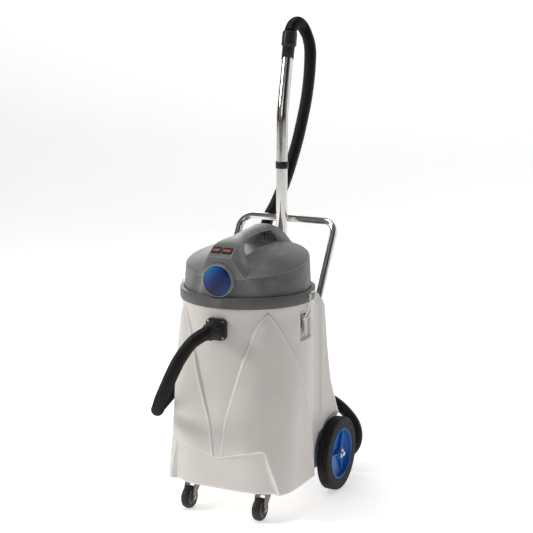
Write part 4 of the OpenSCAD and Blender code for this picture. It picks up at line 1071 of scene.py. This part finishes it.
# ------------------------------------------------------------------ latches
def make_latch(side, name):
    def m(part):
        return mirror(part) if side < 0 else part

    lx, lz = 201.0, 646.0
    # strap over the ring, hooked at the top
    strap = prism([(220.05, 703), (222.4, 703), (222.7, 708), (225.0, 709.2), (226.3, 711.4), (226.1, 714.4), (224.4, 714.2), (224.0, 712.2), (222.6, 713.6), (222.5, 721), (220.05, 721)], -10, 10, "y")
    put("latch_catch_" + name, *m(strap), "steel", "head", bevel=0.5)
    # lever: a pressed channel with a curled tail
    back = []
    for x, z, w in ((lx + 5.0, lz - 6, 11.6), (lx + 6.4, lz - 20, 11.8), (lx + 6.9, lz - 38, 11.4), (lx + 6.4, lz - 51, 10.4), (lx + 7.0, lz - 58, 9.4), (lx + 9.6, lz - 62.2, 8.6)):
        back.append([(x, -w, z), (x + 1.7, -w, z - 0.3), (x + 1.9, 0, z - 0.3), (x + 1.7, w, z - 0.3), (x, w, z), (x + 0.2, 0, z)])
    channel = loft(back)
    cheeks = [prism([(lx - 3, lz - 1), (lx - 1.5, lz + 3), (lx + 1.8, lz + 3), (lx + 3.4, lz - 1), (lx + 7.2, lz - 12), (lx + 8.2, lz - 32), (lx + 7.6, lz - 50), (lx + 3.6, lz - 50), (lx + 1.6, lz - 30)], y0, y0 + 1.9, "y") for y0 in (-11.9, 10.0)]
    pin = lathe([(0.3, -14.8), (1.94, -14.8), (1.94, 14.8), (0.3, 14.8)], 20, "y", (lx, 0, lz))
    put("latch_lever_" + name + "_pressed", *m(merge(channel, *cheeks, pin)), "steel", "latch_lever_" + name, "latch_lever_" + name, bevel=0.35)
    # wire bail
    p = np.array((lx + 4.4, 0, lz - 12))
    top = np.array((232.6, 0, 728.0))
    ctl = (p + top) / 2 + np.array((17.0, 0, 2.0))
    leg = [(1 - t) ** 2 * p + 2 * t * (1 - t) * ctl + t * t * top for t in np.linspace(0.05, 0.95, 24)]
    u = (top - ctl) / np.linalg.norm(top - ctl)
    one = [p + np.array((0, -9.8, 0)), p + np.array((0, -15.6, 0)), p + (leg[0] - p) * 0.3 + np.array((0, -17.0, 0))] + [q + np.array((0, -17.5, 0)) for q in leg]
    one += [top - u * 3.4 * (1 - math.sin(k)) + np.array((0, -17.5 + 3.4 * (1 - math.cos(k)), 0)) for k in np.linspace(0.2, math.pi / 2, 6)]
    path = np.array(one + [q * np.array((1, -1, 1)) for q in one[::-1]])
    put("latch_bail_" + name + "_wire", *m(sweep(path, 1.7, 14, (1, 0, 0.1))), "bright", "latch_bail_" + name, "latch_bail_" + name)
    plate = []
    rr = rounded_rect(30, 50, 5, 5)
    for x, g in ((196.05, 0), (197.3, 0), (197.7, 0.4)):
        plate.append(np.stack([np.full(len(rr), x), rr[:, 0] * (1 - g / 15), 636 + rr[:, 1] * (1 - g / 25)], 1))
    ears = [prism([(196.1, 638.5), (201, 639.6), (204.2, 642.6), (204.6, 646), (204.2, 649.4), (201, 652.6), (196.1, 653.6)], y0, y0 + 2.4, "y") for y0 in (-15, 12.6)]
    rivets = [lathe([(0.3, 0), (4.2, 0), (4.0, 0.8), (2.6, 1.5), (0.3, 1.8)], 24, "x", (197.3, 0, z)) for z in (618, 630)]
    return m(merge(loft(plate), *ears, *rivets))


# low white caps over the screws that hold the push handle
plug = lathe([(0.3, -1.0), (5.6, -1.0), (5.6, 0.5), (4.9, 0.95), (0.3, 1.1)], 40, "x", (200.2, 150.6, 637.1))
put("handle_screw_plugs", *merge(plug, mirror(plug)), "white", "root", "handle_screws", sharp=40)

pl = [make_latch(1, "right"), make_latch(-1, "left")]
put("latch_backing_plates", *merge(*pl), "steel", "root", "latch_plates", sharp=30, bevel=0.3)
for o in list(bpy.data.objects):
    if o.name == "latch_catch_right":
        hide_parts("latch_catches")


# ------------------------------------------------------------------ switches
def at_switch(part, s):
    return moved(part, rot("X", 33.7), (s * 19, -176.5, 870.1))


def make_switches():
    frames_ = []
    for s, name in ((-1, "left"), (1, "right")):
        outer, inner = rounded_rect(33, 27, 2.6, 5), rounded_rect(24.6, 18.6, 1.4, 5)
        rings = []
        for sc, z, base in ((1.0, 0.1, outer), (1.0, 2.1, outer), (0.965, 2.9, outer), (0.93, 3.1, outer), (1.04, 3.0, inner), (1.0, 2.4, inner), (1.0, -7, inner), (1.16, -7, inner), (1.16, 0.1, inner)):
            rings.append(np.stack([base[:, 0] * sc, base[:, 1] * sc, np.full(len(base), z)], 1))
        rings.append(rings[0])
        v, f = loft(rings, caps=(False, False))
        m = len(v) - len(outer)
        f = [tuple(i if i < m else i - m for i in q) for q in f]
        frames_.append(at_switch((v[:m], f), s))
        box_ = prism([(-14.2, -11.2), (14.2, -11.2), (14.2, 11.2), (-14.2, 11.2)], -20, -7.2, "z")
        frames_.append(at_switch(box_, s))
        # rocker: dished top, pressed at one end
        prof = [(-8.2, -4.5), (-8.6, 0), (-8.4, 5.2), (-7.9, 6.2), (-6, 5.7), (-2.5, 4.2), (0, 3.5), (3, 3.0), (6.5, 2.7), (8.2, 2.5), (8.7, 1.4), (8.2, -4.5)]
        rk = prism(prof, -11.8, 11.8, "x")
        put("switch_rocker_" + name + "_dished", *at_switch(rk, s), "red", "switch_" + name, "switch_rocker_" + name, bevel=0.5)
    put("switch_bezels", *merge(*frames_), "black", "head", "switch_frames", sharp=35)


make_switches()


# ------------------------------------------------------------------ floor and light
def make_stage():
    me = bpy.data.meshes.new("floor")
    n = 48
    verts, faces = [], []
    prof = [(-9, 0.0), (3.2, 0.0), (4.2, 0.12), (5.0, 0.55), (5.5, 1.3), (5.7, 2.4), (5.8, 6)]
    for y, z in prof:
        for x in (-12, 12):
            verts.append((x, y, z))
    for i in range(len(prof) - 1):
        faces.append((2 * i, 2 * i + 1, 2 * i + 3, 2 * i + 2))
    me.from_pydata(verts, [], faces)
    me.shade_smooth()
    ob = bpy.data.objects.new("floor", me)
    bpy.context.scene.collection.objects.link(ob)
    m, nt, b = new_mat("studio_floor")
    v = coords(nt)
    nt.links.new(ramp(nt, noise(nt, v, 1.5, 3), [(0.3, (0.93, 0.93, 0.93)), (0.7, (0.95, 0.95, 0.95))]), b.inputs["Base Color"])
    b.inputs["Roughness"].default_value = 0.9
    b.inputs["Specular IOR Level"].default_value = 0.1
    b.inputs["Emission Color"].default_value = (1, 1, 1, 1)
    sep = nt.nodes.new("ShaderNodeSeparateXYZ")
    nt.links.new(v, sep.inputs[0])
    nt.links.new(maprange(nt, sep.outputs[2], 0.3, 2.5, 0.5, 0.72), b.inputs["Emission Strength"])
    me.materials.append(m)


make_stage()


def area(name, loc, target, size, power, color=(1, 1, 1), size_y=None, spread=None):
    li = bpy.data.lights.new(name, "AREA")
    li.energy = power
    li.color = color
    li.size = size
    if size_y:
        li.shape = "RECTANGLE"
        li.size_y = size_y
    ob = bpy.data.objects.new(name, li)
    bpy.context.scene.collection.objects.link(ob)
    ob.location = loc
    d = Vector(target) - Vector(loc)
    ob.rotation_euler = d.to_track_quat("-Z", "Y").to_euler()
    return ob


area("key", (-3.4, -2.4, 2.9), (0, 0, 0.6), 1.0, 92, (1.0, 0.985, 0.965))
area("front", (0.9, -4.6, 2.2), (0, 0, 0.6), 1.4, 8, (1.0, 0.99, 0.98))
area("side", (3.4, 0.9, 2.2), (0, 0, 0.6), 1.2, 4, (0.97, 0.985, 1.0))
area("rim", (-2.2, 2.9, 2.4), (0, 0.1, 0.8), 1.4, 20)
area("top", (-0.3, -0.3, 3.9), (0, 0, 0.5), 1.2, 34)

w = bpy.data.worlds.new("studio")
bpy.context.scene.world = w
w.use_nodes = True
nt = w.node_tree
nt.nodes.clear()
out = nt.nodes.new("ShaderNodeOutputWorld")
bg = nt.nodes.new("ShaderNodeBackground")
bg.inputs[1].default_value = 0.20
tc = nt.nodes.new("ShaderNodeTexCoord")
sep = nt.nodes.new("ShaderNodeSeparateXYZ")
nt.links.new(tc.outputs["Generated"], sep.inputs[0])
low = ramp(nt, maprange(nt, sep.outputs[2], -0.25, 0.9, 0, 1), [(0.0, (0.34, 0.30, 0.26)), (0.20, (0.62, 0.58, 0.54)), (0.27, (0.95, 0.95, 0.96)), (1.0, (1.0, 1.0, 1.0))])
rad = nt.nodes.new("ShaderNodeTexGradient")
rad.gradient_type = "RADIAL"
nt.links.new(tc.outputs["Generated"], rad.inputs[0])
# two dark flags beside the camera give the bright tubes their dark streaks
flags = ramp(nt, rad.outputs["Fac"], [(0.0, (1, 1, 1)), (0.05, (0.10, 0.075, 0.055)), (0.11, (0.12, 0.09, 0.07)), (0.14, (1, 1, 1)), (0.30, (1, 1, 1)), (0.34, (0.10, 0.075, 0.055)), (0.42, (0.16, 0.12, 0.09)), (0.47, (1, 1, 1))])
mx = nt.nodes.new("ShaderNodeMix")
mx.data_type = "RGBA"
mx.blend_type = "MULTIPLY"
mx.inputs[0].default_value = 1.0
nt.links.new(low, mx.inputs[6])
nt.links.new(flags, mx.inputs[7])
nt.links.new(mx.outputs[2], bg.inputs[0])
nt.links.new(bg.outputs[0], out.inputs[0])
bpy.context.scene.view_settings.view_transform = "Standard"
bpy.context.scene.view_settings.look = "None"
